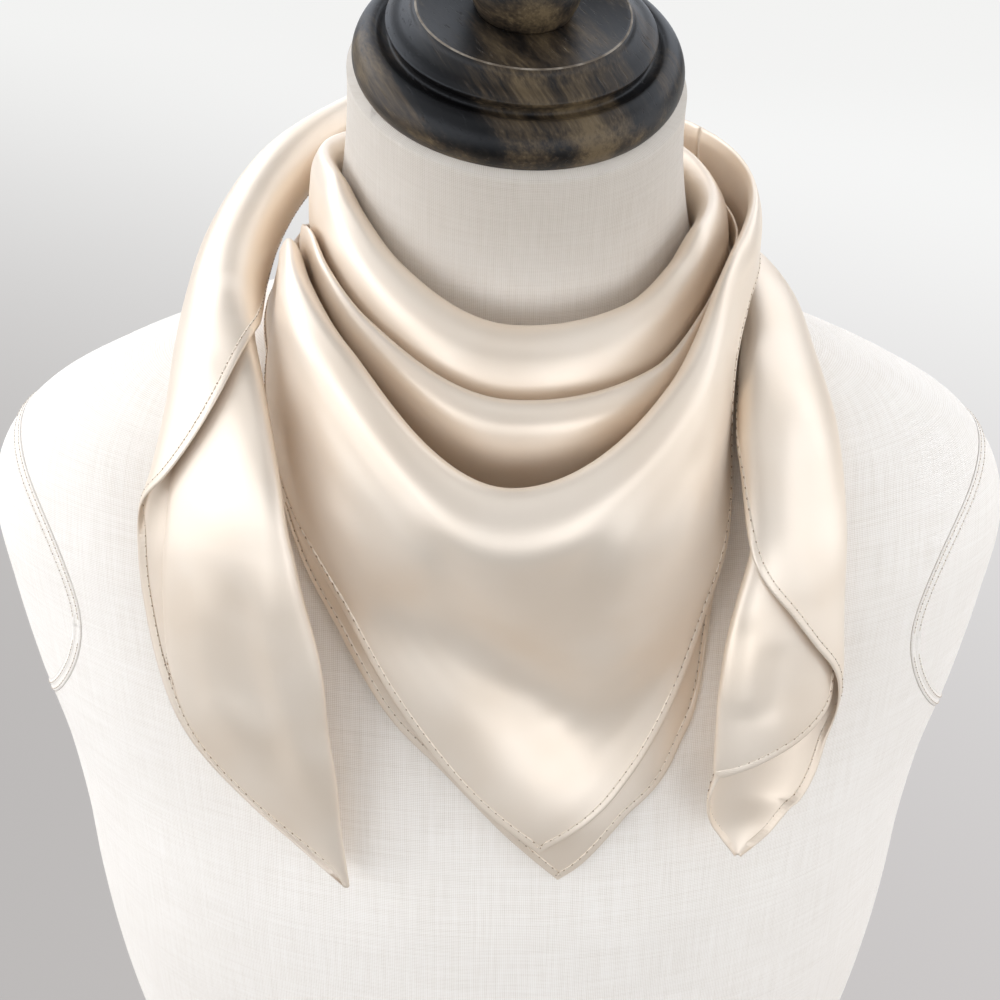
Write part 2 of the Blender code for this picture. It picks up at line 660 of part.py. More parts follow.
def smooth_through(knots, values, at):
    """A smooth curve through values at knots, for rows of numbers or whole sections."""
    flat = values.reshape(len(knots), -1)
    tangent = np.gradient(flat, knots, axis=0)
    place = np.clip(np.searchsorted(knots, at, side="right") - 1, 0, len(knots) - 2)
    width = np.diff(knots)[place][:, None]
    t = (at - knots[place])[:, None] / width
    made = ((2 * t**3 - 3 * t**2 + 1) * flat[place] + (t**3 - 2 * t**2 + t) * width * tangent[place]
            + (3 * t**2 - 2 * t**3) * flat[place + 1] + (t**3 - t**2) * width * tangent[place + 1])
    return made.reshape((len(at),) + values.shape[1:])


def build_wrap_and_tail(skin, finish, side):
    """One end of the scarf: the wrap round the nape and the tail over the shoulder."""
    label = "left" if side > 0 else "right"
    wrap, tail = (LEFT_WRAP, LEFT_TAIL) if side > 0 else (RIGHT_WRAP, RIGHT_TAIL)
    seam_angle = math.degrees(SEAM / 80.0)
    end_angle = side * FRONT_END_ANGLE
    hem = hem_height([end_angle], HEM_LEFT, HEM_RIGHT)[0]
    section = smooth_even(cowl_section(end_angle, hem), TAIL_ROWS)
    start = around(end_angle + side * seam_angle, section[:, 0], section[:, 1])
    grid = wrap_grid(start, wrap + tail, side, 2)
    split = 2 * len(wrap) + 1
    seam = np.linalg.norm(grid[split] - grid[split - 1], axis=1).mean()
    share = SEAM / seam
    tail_part = grid[split - 1:].copy()
    tail_part[0] = grid[split - 1] + (grid[split] - grid[split - 1]) * share
    cloth_sheet("nape_wrap_" + label, skin.clear(grid[:split]), finish)
    cloth_sheet(label + "_tail", skin.clear(tail_part), finish)


def build():
    """Model the whole object."""
    clear_scene()
    group = bpy.data.collections.new(COLLECTION)
    bpy.context.scene.collection.children.link(group)
    linen = material("linen", (0.80, 0.76, 0.69), 0.9)
    wood = material("dark_turned_wood", (0.055, 0.040, 0.030), 0.35)
    knob = material("dark_turned_knob", (0.050, 0.036, 0.028), 0.35)
    form = build_form(linen)
    empty = neck_axis()
    build_turned("neck_cap", CAP_PROFILE, wood, empty)
    build_turned("finial", FINIAL_PROFILE, knob, empty)
    skin = Skin(form)
    names = ("collar", "middle", "cowl", "under", "left_end", "right_end")
    silks = {name: material("silk_" + name, (0.80, 0.74, 0.66), 0.3) for name in names}
    build_collar(skin, silks["collar"])
    build_middle(skin, silks["middle"])
    cloth_sheet("cowl_panel", skin.clear(cowl_grid(cowl_angles())), silks["cowl"])
    build_under_layer(skin, silks["under"])
    build_wrap_and_tail(skin, silks["left_end"], 1.0)
    build_wrap_and_tail(skin, silks["right_end"], -1.0)
    bpy.context.view_layer.update()


build()
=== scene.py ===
"""Looks of a satin square scarf wound round the neck of a linen dress form.

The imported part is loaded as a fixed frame.  Around it this script makes the cloth as thin, smooth
sheets with hems and stitches, the linen form with its armhole seams, and the turned wooden cap.
"""

from __future__ import annotations

import logging
import math
from abc import ABC, abstractmethod
from collections.abc import Callable, Sequence
from dataclasses import dataclass, field
from enum import Enum
from typing import NamedTuple, TypeVar

import bmesh
import bpy
import numpy as np
from bpy.types import ID, ColorRamp, Material, Node, NodeSocket, Object
from mathutils import Matrix, Vector
from mathutils.bvhtree import BVHTree

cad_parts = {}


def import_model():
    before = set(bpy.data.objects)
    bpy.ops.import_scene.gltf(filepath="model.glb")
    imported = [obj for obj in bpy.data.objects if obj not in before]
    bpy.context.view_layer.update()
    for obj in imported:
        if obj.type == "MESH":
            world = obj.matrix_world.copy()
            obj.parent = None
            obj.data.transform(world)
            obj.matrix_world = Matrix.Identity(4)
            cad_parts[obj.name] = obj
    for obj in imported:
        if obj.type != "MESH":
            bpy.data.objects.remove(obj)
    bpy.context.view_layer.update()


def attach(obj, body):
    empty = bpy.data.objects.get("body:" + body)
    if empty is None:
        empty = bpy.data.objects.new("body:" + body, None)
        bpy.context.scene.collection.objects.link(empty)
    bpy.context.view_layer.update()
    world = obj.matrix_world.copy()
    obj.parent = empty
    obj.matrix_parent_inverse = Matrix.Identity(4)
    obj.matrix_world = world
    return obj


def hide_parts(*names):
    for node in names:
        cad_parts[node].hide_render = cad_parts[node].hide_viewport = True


LOG = logging.getLogger("silk_scarf")
MM = 0.001
BODY = "root"
ACROSS = np.array([1.0, 0.0, 0.0])
FORWARD = np.array([0.0, -1.0, 0.0])
Row = TypeVar("Row")
Array = np.ndarray
Triple = tuple[float, float, float]
Profile = Sequence[tuple[float, float]]     # reaches and heights, in mm
Stops = Sequence[tuple[float, Triple]]      # places and colours of a ramp

# ------------------------------------------------------------------ sizes shared by the pieces, mm
LAYER = 2.0                 # from one cloth layer's middle to the next one's
TURN_LAYER = 3.2            # the same between the turns of a wound tail
NECK_OFFSET = 3.0           # the neck stands this far to +X of the torso's middle
ASIDE = NECK_OFFSET * ACROSS
SILK_WALL = 0.4
CLEARANCE = 0.9             # least distance of the cloth from the form
HEM_CORNER = 6.3            # degrees round from the front, where the cowl's corner hangs
UNDER_CORNER = 10.0
FRONT_END = 120.0           # the front folds run this far round on both sides


def rows_of(kind: Callable[..., Row], rows: Sequence[Sequence[float]]) -> tuple[Row, ...]:
    """A table's rows as named tuples."""
    return tuple(kind(*row) for row in rows)


class FormRow(NamedTuple):
    """A level section of the dress form: half width and reach, in mm."""

    height: float
    half_width: float
    front: float
    back: float


FORM_ROWS = rows_of(FormRow, (
    (0.0, 141, 88, 82), (30.0, 143, 90, 83), (70.0, 151, 97, 87), (107.0, 159.5, 105, 91),
    (150.0, 166, 114, 95), (190.0, 169.5, 119.5, 98), (225.0, 171.5, 119, 101),
    (257.0, 176, 114, 103.5), (290.0, 184, 108, 105), (325.0, 190, 101, 104),
    (352.0, 193, 95, 100), (375.0, 187.5, 88, 95), (392.0, 174.5, 82, 89), (405.0, 153, 77, 83),
    (416.0, 127, 73, 78), (425.0, 103, 70, 74), (434.0, 82.5, 67, 70), (445.0, 68, 64.5, 65.5),
))


class FoldRow(NamedTuple):
    """A section through the front folds at one angle round the neck, reaches and heights in mm."""

    angle: float
    collar_in: float
    collar_top: float
    collar_out: float
    middle_top: float
    middle_out: float
    cowl_in: float
    cowl_top: float
    cowl_out: float


FOLD_ROWS = rows_of(FoldRow, (
    (-120, 59.5, 486, 70.0, 450, 72.4, 74.5, 453, 80.0),
    (-90, 60.5, 491, 69.5, 461, 72.5, 75.0, 453, 80.5),
    (-75, 61.0, 493, 71.0, 468, 75.5, 78.0, 461, 83.0),
    (-60, 62.0, 492, 73.0, 473, 79.0, 81.5, 471, 89.0),
    (-47, 63.5, 485, 77.5, 468, 85.0, 88.5, 468, 101.0),
    (-30, 66.0, 473, 84.0, 458, 93.5, 99.0, 457, 115.0),
    (0, 69.5, 458, 90.5, 441, 104.0, 112.0, 422, 132.0),
    (30, 69.0, 461, 87.0, 445, 98.0, 101.0, 448, 116.0),
    (47, 68.0, 470, 82.5, 456, 88.0, 91.0, 472, 98.5),
    (60, 66.5, 477, 79.0, 463, 82.5, 85.0, 477, 93.0),
    (90, 64.0, 479, 75.5, 466, 78.0, 80.0, 483, 84.5),
    (120, 62.5, 483, 73.0, 468, 75.5, 77.5, 486, 82.0),
))


class NapeRow(NamedTuple):
    """The collar roll behind the neck, where it runs on alone."""

    angle: float
    inner: float
    top: float
    outer: float


NAPE_ROWS = rows_of(NapeRow, (
    (120, 62.5, 483, 73.0), (150, 59.0, 487, 67.5), (180, 57.0, 490, 66.0), (210, 57.5, 489, 66.8),
    (240, 59.5, 486, 70.0),
))


class PanelRow(NamedTuple):
    """Reach of the cowl panel at one angle, in mm, at the four PANEL_HEIGHTS."""

    angle: float
    at_400: float
    at_360: float
    at_320: float
    at_280: float


PANEL_ROWS = rows_of(PanelRow, (
    (-60, 100, 103, 106, 108), (-45, 112, 112.5, 114.5, 116.5), (-30, 121.5, 118, 118.5, 121),
    (0, 131, 121.5, 116, 119.5), (30, 121, 118, 118.5, 121), (45, 106.5, 117, 120, 121),
    (60, 90, 100, 110, 115),
))
PANEL_HEIGHTS = (400.0, 360.0, 320.0, 280.0)


class ChestRow(NamedTuple):
    """Where the hanging panel comes to lie on the chest: its height and the dent there, in mm."""

    angle: float
    height: float
    depth: float


CHEST_ROWS = rows_of(ChestRow, (
    (-42, 386, 0.0), (-30, 378, 3.0), (-16, 367, 8.0), (-8, 361, 10.5), (0, 348, 12.0),
    (9, 334, 11.5), (18, 324, 7.0), (25, 334, 5.0), (32, 352, 2.5), (42, 368, 0.0),
))
CHEST_SPREAD = 26.0         # of the dent above and below its height
PANEL_KNOTS = 12            # of the curve down the panel
KNOT_GAP = 8.0              # least height from the crest down to the panel's next knot
KNOT_BLEND = 9.0            # height over which a knot below that gap comes in


class HemPoint(NamedTuple):
    """A point of a hem: angle round from the front in degrees and height in mm."""

    angle: float
    height: float


COWL_HEM_LEFT = rows_of(HemPoint, (
    (-120, 440), (-90, 441), (-60, 431), (-36.2, 393), (-28.2, 366.5), (-18.6, 334.5),
    (-7.4, 302.7), (HEM_CORNER, 275.2),
))
COWL_HEM_RIGHT = rows_of(HemPoint, (
    (HEM_CORNER, 275.2), (20.3, 296.2), (27.7, 318.4), (32.7, 342.3), (36.3, 365.3), (41.5, 388.5),
    (45, 405), (46.9, 422), (50, 441), (62, 455), (90, 458), (120, 457),
))
UNDER_HEM_LEFT = rows_of(HemPoint, (
    (-42.5, 396), (-37.6, 376.5), (-28.5, 351.7), (-19.7, 325), (-10.3, 305.5), (0, 282.3),
    (UNDER_CORNER, 259.8),
))
UNDER_HEM_RIGHT = rows_of(HemPoint, (
    (UNDER_CORNER, 259.8), (13.6, 265), (21, 281.8), (31.7, 306.8), (36.2, 333.4), (38.1, 361.8),
    (41.8, 392.3),
))


class TailRow(NamedTuple):
    """A section across a tail: its middle in mm, size, facing in degrees and hems in half turns."""

    x: float
    y: float
    z: float
    half_width: float
    half_depth: float
    azimuth: float          # of the tail's face, 0 towards the front, positive to +X
    lift: float
    first_hem: float
    last_hem: float
    inset: float = 0.0      # how much narrower the inner layer is at the outer side


LEFT_ROWS = rows_of(TailRow, (
    (43.5, 75.3, 473.5, 18.0, 4.5, 150, 5, -0.96, 0.98),
    (0.0, 89.7, 477.8, 16.5, 5.5, 180, 5, -0.98, 1.02),
    (-38.3, 81.5, 479.0, 14.5, 7.0, 205, 5, -0.95, 1.08),
    (-65.5, 55.5, 476.5, 12.5, 9.0, 230, 12, -0.85, 1.15),
    (-80.8, 30.0, 472.5, 12.0, 11.0, 255, 22, -0.70, 1.30),
    (-93.5, -6.0, 460.0, 12.5, 12.0, 285, 38, -0.50, 1.60),
    (-96.5, -41.0, 449.5, 13.5, 12.5, 308, 40, -0.25, 2.10),
    (-96.0, -61.0, 442.0, 17.0, 12.0, 313, 34, -0.06, 2.60),
    (-94.5, -81.0, 430.0, 22.5, 10.5, 315, 28, 0.30, 3.00, 2),
    (-94.3, -96.5, 410.0, 28.0, 9.0, 322, 22, 0.68, 3.18, 6),
    (-95.1, -102.5, 391.0, 31.4, 8.0, 330, 12, 0.98, 3.22, 9),
    (-94.3, -106.0, 370.0, 33.6, 7.5, 334.6, 6, 1.08, 3.20, 9),
    (-90.6, -109.5, 349.0, 33.4, 7.0, 338, 4, 1.08, 3.10, 5),
    (-86.0, -112.5, 328.0, 30.1, 6.0, 341, 1, 1.06, 2.98, 1),
    (-73.6, -116.0, 298.3, 19.9, 5.0, 342, -2, 1.04, 2.94),
    (-62.6, -117.5, 275.2, 8.6, 3.4, 343, -3, 1.00, 2.90),
    (-54.5, -119.0, 258.5, 1.0, 1.2, 344, -3, 1.00, 2.86),
))
RIGHT_ROWS = rows_of(TailRow, (
    (-37.5, 65.5, 455.0, 13.0, 5.0, -150, 5, -0.93, 0.93),
    (0.0, 75.5, 461.0, 14.5, 5.2, -180, 5, -0.94, 0.94),
    (37.8, 65.6, 454.5, 12.0, 4.8, -210, 4, -0.92, 0.98),
    (66.0, 46.0, 442.0, 11.5, 5.0, -240, 45, -0.80, 1.15),
    (82.0, 20.0, 445.0, 13.0, 6.5, -262, 56, -0.60, 1.45),
    (91.0, -8.0, 440.5, 13.5, 7.5, -280, 58, -0.45, 1.70),
    (93.2, -35.5, 432.0, 15.5, 8.5, -298, 52, -0.30, 2.10),
    (94.0, -58.0, 422.5, 19.5, 9.0, -312, 42, -0.20, 2.50),
    (94.6, -77.5, 406.5, 21.5, 9.5, -318, 33, -0.10, 2.80),
    (95.5, -91.0, 388.0, 22.0, 9.5, -322, 20, 0.02, 3.05, 2),
    (94.0, -99.0, 367.5, 23.5, 9.0, -327, 15, 0.40, 3.10, 4),
    (93.3, -103.5, 354.5, 24.5, 8.5, -330, 13, 0.60, 3.05, 3),
    (93.2, -107.5, 338.0, 24.5, 7.5, -334, 11, 0.83, 2.96),
    (91.5, -111.5, 322.0, 22.0, 7.0, -338, 9, 0.99, 2.62),
    (89.5, -114.5, 307.0, 19.6, 6.0, -341, 6, 1.02, 2.14),
    (86.1, -116.5, 297.5, 17.1, 5.0, -343, 3, 1.03, 2.03),
    (84.3, -117.0, 284.5, 9.9, 3.6, -346, 2, 1.00, 1.98),
    (82.9, -118.0, 274.5, 1.0, 1.2, -348, 2, 1.00, 1.95),
))


class Side(Enum):
    """Which end of the scarf: the value is +1 where the end comes from the cowl's +X side."""

    LEFT = 1.0
    RIGHT = -1.0


class Edge(Enum):
    """Which long edge of a grid of points: its first row or its last."""

    FIRST = 0
    LAST = -1


# ==================================================================== curves
STEEPEST = 2.5              # of a table's curve, times the flatter slope beside a row
TURNING = 0.35              # share of the slope that is kept at a highest or lowest row
FINE_STEPS = 12             # of a curve for each of its even rows


def ease(value: Array | float) -> Array | float:
    """Ease from 0 to 1."""
    value = np.clip(value, 0.0, 1.0)
    return value * value * (3.0 - 2.0 * value)


def hermite(knots: Array, flat: Array, tangent: Array, at: Array) -> Array:
    """Cubic curve through rows of values at knots, with a given slope at each.

    Args:
        knots: rising places of the rows.
        flat: values, one row a knot.
        tangent: slopes, one row a knot.
        at: places to work out.

    Returns:
        One row of values for each place.
    """
    at = np.clip(np.asarray(at, float), knots[0], knots[-1])
    place = np.clip(np.searchsorted(knots, at, side="right") - 1, 0, len(knots) - 2)
    width = np.diff(knots)[place][:, None]
    t = (at - knots[place])[:, None] / width
    return ((2 * t**3 - 3 * t**2 + 1) * flat[place] + (t**3 - 2 * t**2 + t) * width * tangent[place]
            + (3 * t**2 - 2 * t**3) * flat[place + 1] + (t**3 - t**2) * width * tangent[place + 1])


def spline(knots: Sequence[float], values: Array, at: Sequence[float]) -> Array:
    """Smooth values through a table, with no overshoot between its rows.

    Args:
        knots: rising places of the rows.
        values: a number or a row of numbers for each knot.
        at: places to work out.

    Returns:
        The values at the places, in the table's own layout.
    """
    knots = np.asarray(knots, float)
    values = np.asarray(values, float)
    flat = values.reshape(len(knots), -1)
    step = np.diff(knots)[:, None]
    slope = np.diff(flat, axis=0) / step
    tangent = np.zeros_like(flat)
    tangent[1:-1] = (slope[:-1] * step[1:] + slope[1:] * step[:-1]) / (step[:-1] + step[1:])
    limit = STEEPEST * np.minimum(np.abs(slope[:-1]), np.abs(slope[1:]))
    turned = slope[:-1] * slope[1:] <= 0
    limit = np.where(turned, TURNING * np.abs(tangent[1:-1]), np.maximum(limit, 0.0))
    tangent[1:-1] = np.clip(tangent[1:-1], -limit, limit)
    tangent[0], tangent[-1] = slope[0], slope[-1]
    made = hermite(knots, flat, tangent, np.asarray(at, float))
    return made.reshape((len(made),) + values.shape[1:])


def smooth_through(knots: Array, values: Array, at: Array) -> Array:
    """A smooth curve through rows, or whole sections, at knots.

    Args:
        knots: rising places of the rows.
        values: an array whose first axis runs over the knots.
        at: places to work out.

    Returns:
        The rows at the places.
    """
    flat = values.reshape(len(knots), -1)
    tangent = np.gradient(flat, knots, axis=0)
    return hermite(knots, flat, tangent, at).reshape((len(at),) + values.shape[1:])


def walked(points: Array) -> Array:
    """Length walked along a line of points, from 0."""
    steps = np.linalg.norm(np.diff(points, axis=0), axis=1)
    return np.concatenate(([0.0], np.cumsum(steps)))


def walked_rows(grid: Array) -> Array:
    """Length walked along each column of a grid, from its first row."""
    steps = np.linalg.norm(np.diff(grid, axis=1), axis=2)
    return np.concatenate((np.zeros((len(grid), 1)), np.cumsum(steps, axis=1)), axis=1)


def values_at(at: Array, places: Array, rows: Array) -> Array:
    """Rows of values worked out between the places of a table's rows."""
    return np.stack([np.interp(at, places, column) for column in rows.T], axis=1)


def even_points(points: Array, count: int) -> Array:
    """Points at even lengths along a fine line."""
    length = walked(points)
    return values_at(np.linspace(0.0, length[-1], count), length, points)


def landmark_curve(points: Sequence[tuple[float, float]], marks: Sequence[int],
                   counts: Sequence[int]) -> Array:
    """A smooth curve through points, with its own even rows between landmarks.

    Args:
        points: reach and height of each control point.
        marks: indexes of the landmarks, from the first point to the last.
        counts: how many steps each stretch between two landmarks has.

    Returns:
        One row of reach and height for each step, and one for the end.
    """
    control = np.asarray(points, float)
    length = walked(control)
    tangent = np.gradient(control, length, axis=0)
    rows = []
    for first, last, count in zip(marks[:-1], marks[1:], counts):
        at = np.linspace(length[first], length[last], FINE_STEPS * count)
        rows.append(even_points(hermite(length, control, tangent, at), count + 1)[:-1])
    rows.append(control[-1:])
    return np.concatenate(rows)


def around(angle: float, reach: Array, height: Array) -> Array:
    """Points in mm at an angle in degrees round from the front (-Y)."""
    turn = math.radians(angle)
    return np.stack([reach * math.sin(turn), -reach * math.cos(turn), height + 0 * reach], axis=-1)


def facing(azimuth: float, lift: float) -> Array:
    """The direction at degrees round from the front, positive to +X, and up."""
    turn, rise = math.radians(azimuth), math.radians(lift)
    return np.array([math.sin(turn) * math.cos(rise), -math.cos(turn) * math.cos(rise),
                     math.sin(rise)])


def unit(vectors: Array) -> Array:
    """Vectors of length 1 with the same directions."""
    return vectors / np.maximum(np.linalg.norm(vectors, axis=-1, keepdims=True), 1e-9)


def grid_normals(grid: Array) -> Array:
    """Directions square to a grid of points (columns, rows, 3)."""
    return unit(np.cross(np.gradient(grid, axis=0), np.gradient(grid, axis=1)))


# ==================================================================== shader writing
CLOTH_LAYER = "cloth"       # the UV layer that holds the cloth coordinates


def operation(kind: str, swapped: bool = False) -> Callable[..., "Signal"]:
    """Make a method that adds a Math node over a signal and other values.

    Args:
        kind: the node's operation.
        swapped: whether the signal is the last value.

    Returns:
        The method.
    """
    def method(self: "Signal", *others: "Signal | float") -> "Signal":
        """Work out one operation on shader values."""
        values = enumerate((self, *others)[::-1] if swapped else (self, *others))
        node = self.graph.node("ShaderNodeMath", {"operation": kind}, dict(values))
        return Signal(self.graph, node.outputs[0])
    return method


class Signal:
    """A shader socket in a formula: arithmetic on it adds Math nodes."""

    __add__ = __radd__ = operation("ADD")
    __mul__ = __rmul__ = operation("MULTIPLY")
    __sub__ = operation("SUBTRACT")
    __rsub__ = operation("SUBTRACT", swapped=True)
    sine = operation("SINE")
    size = operation("ABSOLUTE")

    def __init__(self, graph: "Graph", socket: NodeSocket) -> None:
        """Wrap an output socket of a graph's node."""
        self.graph, self.socket = graph, socket

    def ramp(self, low: float, high: float) -> "Signal":
        """Smooth step from 0 at low to 1 at high."""
        node = self.graph.node("ShaderNodeMapRange", {"interpolation_type": "SMOOTHSTEP"},
                               {"Value": self, "From Min": low, "From Max": high})
        return Signal(self.graph, node.outputs["Result"])


SocketValue = "Signal | float | tuple[float, ...] | NodeSocket"


class Graph:
    """A material's node tree, written from Python."""

    def __init__(self, name: str) -> None:
        """Start a material with a Principled shader.

        Args:
            name: the material's name.
        """
        self.material = bpy.data.materials.new(name)
        self.material.use_nodes = True
        self.tree = self.material.node_tree
        self.shader = self.tree.nodes["Principled BSDF"]

    def node(self, kind: str, settings: dict[str, object] | None = None,
             sockets: dict[str | int, SocketValue] | None = None) -> Node:
        """Add a node.

        Args:
            kind: the node's type.
            settings: its properties; a "stops" entry holds a ramp's (place, colour) pairs.
            sockets: values or links for its inputs, by name or number.

        Returns:
            The node.
        """
        made = self.tree.nodes.new(kind)
        for key, value in (settings or {}).items():
            if key == "stops":
                self._set_stops(made.color_ramp, value)
            else:
                setattr(made, key, value)
        for key, value in (sockets or {}).items():
            self.feed(made.inputs[key], value)
        return made

    def _set_stops(self, ramp: ColorRamp, stops: Stops) -> None:
        """Give a colour ramp its stops.

        Args:
            ramp: the ramp.
            stops: their places and colours.
        """
        while len(ramp.elements) < len(stops):
            ramp.elements.new(1.0)
        for element, (place, colour) in zip(ramp.elements, stops):
            element.position = place
            element.color = (*colour, 1.0)

    def feed(self, socket: NodeSocket, value: SocketValue) -> None:
        """Link or set one input.

        Args:
            socket: the input.
            value: what it gets.
        """
        if isinstance(value, Signal):
            value = value.socket
        if isinstance(value, NodeSocket):
            self.tree.links.new(value, socket)
        elif isinstance(value, tuple) and len(value) == 3 and socket.type == "RGBA":
            socket.default_value = (*value, 1.0)
        else:
            socket.default_value = value

    def mapped(self, vector: NodeSocket, **inputs: Triple) -> NodeSocket:
        """A vector turned or scaled by a Mapping node."""
        return self.node("ShaderNodeMapping", {}, {"Vector": vector, **inputs}).outputs["Vector"]

    def place(self, scale: Triple = (1.0, 1.0, 1.0),
              rotation: Triple = (0.0, 0.0, 0.0)) -> NodeSocket:
        """Object coordinates in metres, turned and then scaled."""
        where = self.node("ShaderNodeTexCoord").outputs["Object"]
        return self.mapped(self.mapped(where, Rotation=rotation), Scale=scale)

    def parts(self, vector: NodeSocket) -> list[Signal]:
        """The X, Y and Z of a vector."""
        made = self.node("ShaderNodeSeparateXYZ", {}, {0: vector})
        return [Signal(self, output) for output in made.outputs]

    def cloth_place(self) -> list[Signal]:
        """The two cloth coordinates of a piece, in metres."""
        found = self.node("ShaderNodeUVMap", {"uv_map": CLOTH_LAYER})
        return self.parts(found.outputs["UV"])[:2]

    def noise(self, vector: NodeSocket, scale: float, detail: float = 2.0,
              roughness: float = 0.5) -> Signal:
        """Noise from 0 to 1."""
        made = self.node("ShaderNodeTexNoise", {}, {"Vector": vector, "Scale": scale,
                                                    "Detail": detail, "Roughness": roughness})
        return Signal(self, made.outputs["Fac"])

    def colour(self, amount: Signal, stops: Stops) -> NodeSocket:
        """A colour from a ramp."""
        made = self.node("ShaderNodeValToRGB", {"stops": stops}, {"Fac": amount})
        return made.outputs["Color"]

    def blend(self, amount: Signal, first: SocketValue, second: SocketValue,
              mode: str = "MIX") -> NodeSocket:
        """Mix two colours.

        Args:
            amount: how much of the second there is, from 0 to 1.
            first: one colour.
            second: the other.
            mode: how they are mixed.

        Returns:
            The mixed colour.
        """
        made = self.node("ShaderNodeMix", {"data_type": "RGBA", "blend_type": mode})
        self.feed(made.inputs[0], amount)
        self.feed(made.inputs[6], first)
        self.feed(made.inputs[7], second)
        return made.outputs[2]

    def bump(self, height: Signal, distance: float) -> NodeSocket:
        """A bump normal from a height of 0 to 1 over a distance in metres."""
        made = self.node("ShaderNodeBump", {}, {"Height": height, "Distance": distance})
        return made.outputs["Normal"]

    def shade(self, **sockets: SocketValue) -> Material:
        """Set the shader's inputs.

        Args:
            sockets: a value for each input, with _ for a space in its name.

        Returns:
            The material.
        """
        for name, value in sockets.items():
            title = name.replace("_", " ").title().replace("Ior", "IOR")
            self.feed(self.shader.inputs[title], value)
        return self.material


@dataclass(frozen=True)
class Satin:
    """Champagne satin: smooth, lustrous, with a very fine grain and faint uneven dye."""

    name: str = "champagne_satin"
    light: Triple = (0.850, 0.722, 0.578)
    deep: Triple = (0.812, 0.670, 0.518)
    dye_scale: float = 26.0
    lustre: float = 0.36
    roughness: float = 0.39
    grain_pitch: float = 0.00042
    grain_slant: float = 0.4
    grain_height: float = 0.000012
    slub_scale: float = 900.0

    def material(self) -> Material:
        """Write the material.

        Returns:
            The satin.
        """
        graph = Graph(self.name)
        across, along = graph.cloth_place()
        tone = graph.noise(graph.place(), self.dye_scale)
        slub = graph.noise(graph.place(), self.slub_scale, roughness=0.6)
        turn = math.tau / self.grain_pitch
        twill = across * turn + along * (turn * self.grain_slant)
        return graph.shade(
            base_color=graph.blend(tone.ramp(0.3, 0.7), self.light, self.deep),
            metallic=self.lustre, roughness=self.roughness - 0.04 * tone + 0.05 * slub,
            normal=graph.bump(twill.sine() * 0.25 + slub * 0.75, self.grain_height))


@dataclass(frozen=True)
class Mottled:
    """A small piece's finish: two tones mixed by a noise, and an uneven roughness."""

    name: str
    tones: tuple[Triple, Triple]
    scale: float
    detail: float = 1.0
    mixed: tuple[float, float] | None = None    # where the noise leads from tone to tone
    roughness: float = 0.5
    uneven: float = 0.1
    relief: float = 0.0                         # in metres
    sheen: float = 0.0
    specular: float = 0.5

    def material(self) -> Material:
        """Write the material.

        Returns:
            The finish as a material.
        """
        graph = Graph(self.name)
        grain = graph.noise(graph.place(), self.scale, self.detail)
        share = grain.ramp(*self.mixed) if self.mixed else grain
        relief = {"normal": graph.bump(grain, self.relief)} if self.relief else {}
        return graph.shade(base_color=graph.blend(share, *self.tones), sheen_weight=self.sheen,
                           roughness=self.roughness + self.uneven * grain,
                           specular_ior_level=self.specular, **relief)


SEWING_THREAD = Mottled("sewing_thread", ((0.790, 0.680, 0.540), (0.66, 0.55, 0.42)), 4200.0,
                        roughness=0.55, relief=0.00004, sheen=0.2)
# Painted shade: dark beads that stand for the shade in each needle hole.
NEEDLE_HOLE_SHADE = Mottled("needle_hole_shade", ((0.260, 0.180, 0.110), (0.42, 0.31, 0.21)), 2500.0,
                      roughness=0.9, uneven=0.05)
# Painted highlight: a pale, mottled band for the light caught on the cap's rounded lip.
LIP_HIGHLIGHT = Mottled("painted_lip_highlight", ((0.30, 0.25, 0.19), (0.12, 0.09, 0.06)), 160.0, 3.0,
                    mixed=(0.35, 0.65), specular=0.3)


@dataclass(frozen=True)
class Linen:
    """Natural linen in plain weave, with uneven threads that run both ways."""

    name: str = "natural_linen"
    thread: float = 0.00068
    wander: float = 1.2                     # of a thread, in radians
    slub_scales: tuple[float, float] = (900.0, 34.0)    # across a thread and along it
    light: Triple = (0.950, 0.870, 0.765)
    dark: Triple = (0.700, 0.605, 0.490)
    raised: Triple = (0.96, 0.90, 0.82)     # where two threads cross
    dusty: Triple = (0.74, 0.66, 0.56)
    neck: Triple = (0.600, 0.570, 0.530)    # painted shade: darker and browner up the neck, where the cap shades it
    neck_shade_height: tuple[float, float] = (0.43, 0.49)

    def material(self) -> Material:
        """Write the material.

        Returns:
            The linen.
        """
        graph = Graph(self.name)
        across, along = graph.cloth_place()
        pair = graph.node("ShaderNodeCombineXYZ", {}, {"X": across, "Y": along}).outputs[0]
        wander = graph.noise(pair, 120.0, 1.0) * self.wander
        turn = math.pi / self.thread
        weave = (across * turn + wander).sine().size() * (along * turn + wander).sine().size()
        upright, level = (graph.noise(graph.mapped(pair, Scale=(*scales, 1.0)), 1.0)
                          for scales in (self.slub_scales, self.slub_scales[::-1]))
        slub = (upright + level) * 0.5
        cover = weave * 0.70 + slub.ramp(0.2, 0.8) * 0.30
        cloth = graph.colour(cover, ((0.0, self.dark), (0.45, self.light), (1.0, self.raised)))
        # Painted shade: the linen is multiplied darker up the neck, under the cap's shade.
        high = graph.parts(graph.place())[2].ramp(*self.neck_shade_height)
        neck_shaded = graph.blend(high * 0.85, cloth, self.neck, "MULTIPLY")
        tone = graph.noise(graph.place(), 14.0, 3.0)
        return graph.shade(base_color=graph.blend(tone.ramp(0.35, 0.7) * 0.16, neck_shaded, self.dusty),
                           roughness=0.92 - 0.08 * slub,
                           normal=graph.bump(weave * 0.6 + slub * 0.4, 0.00011),
                           specular_ior_level=0.25, sheen_weight=0.15, sheen_roughness=0.6)


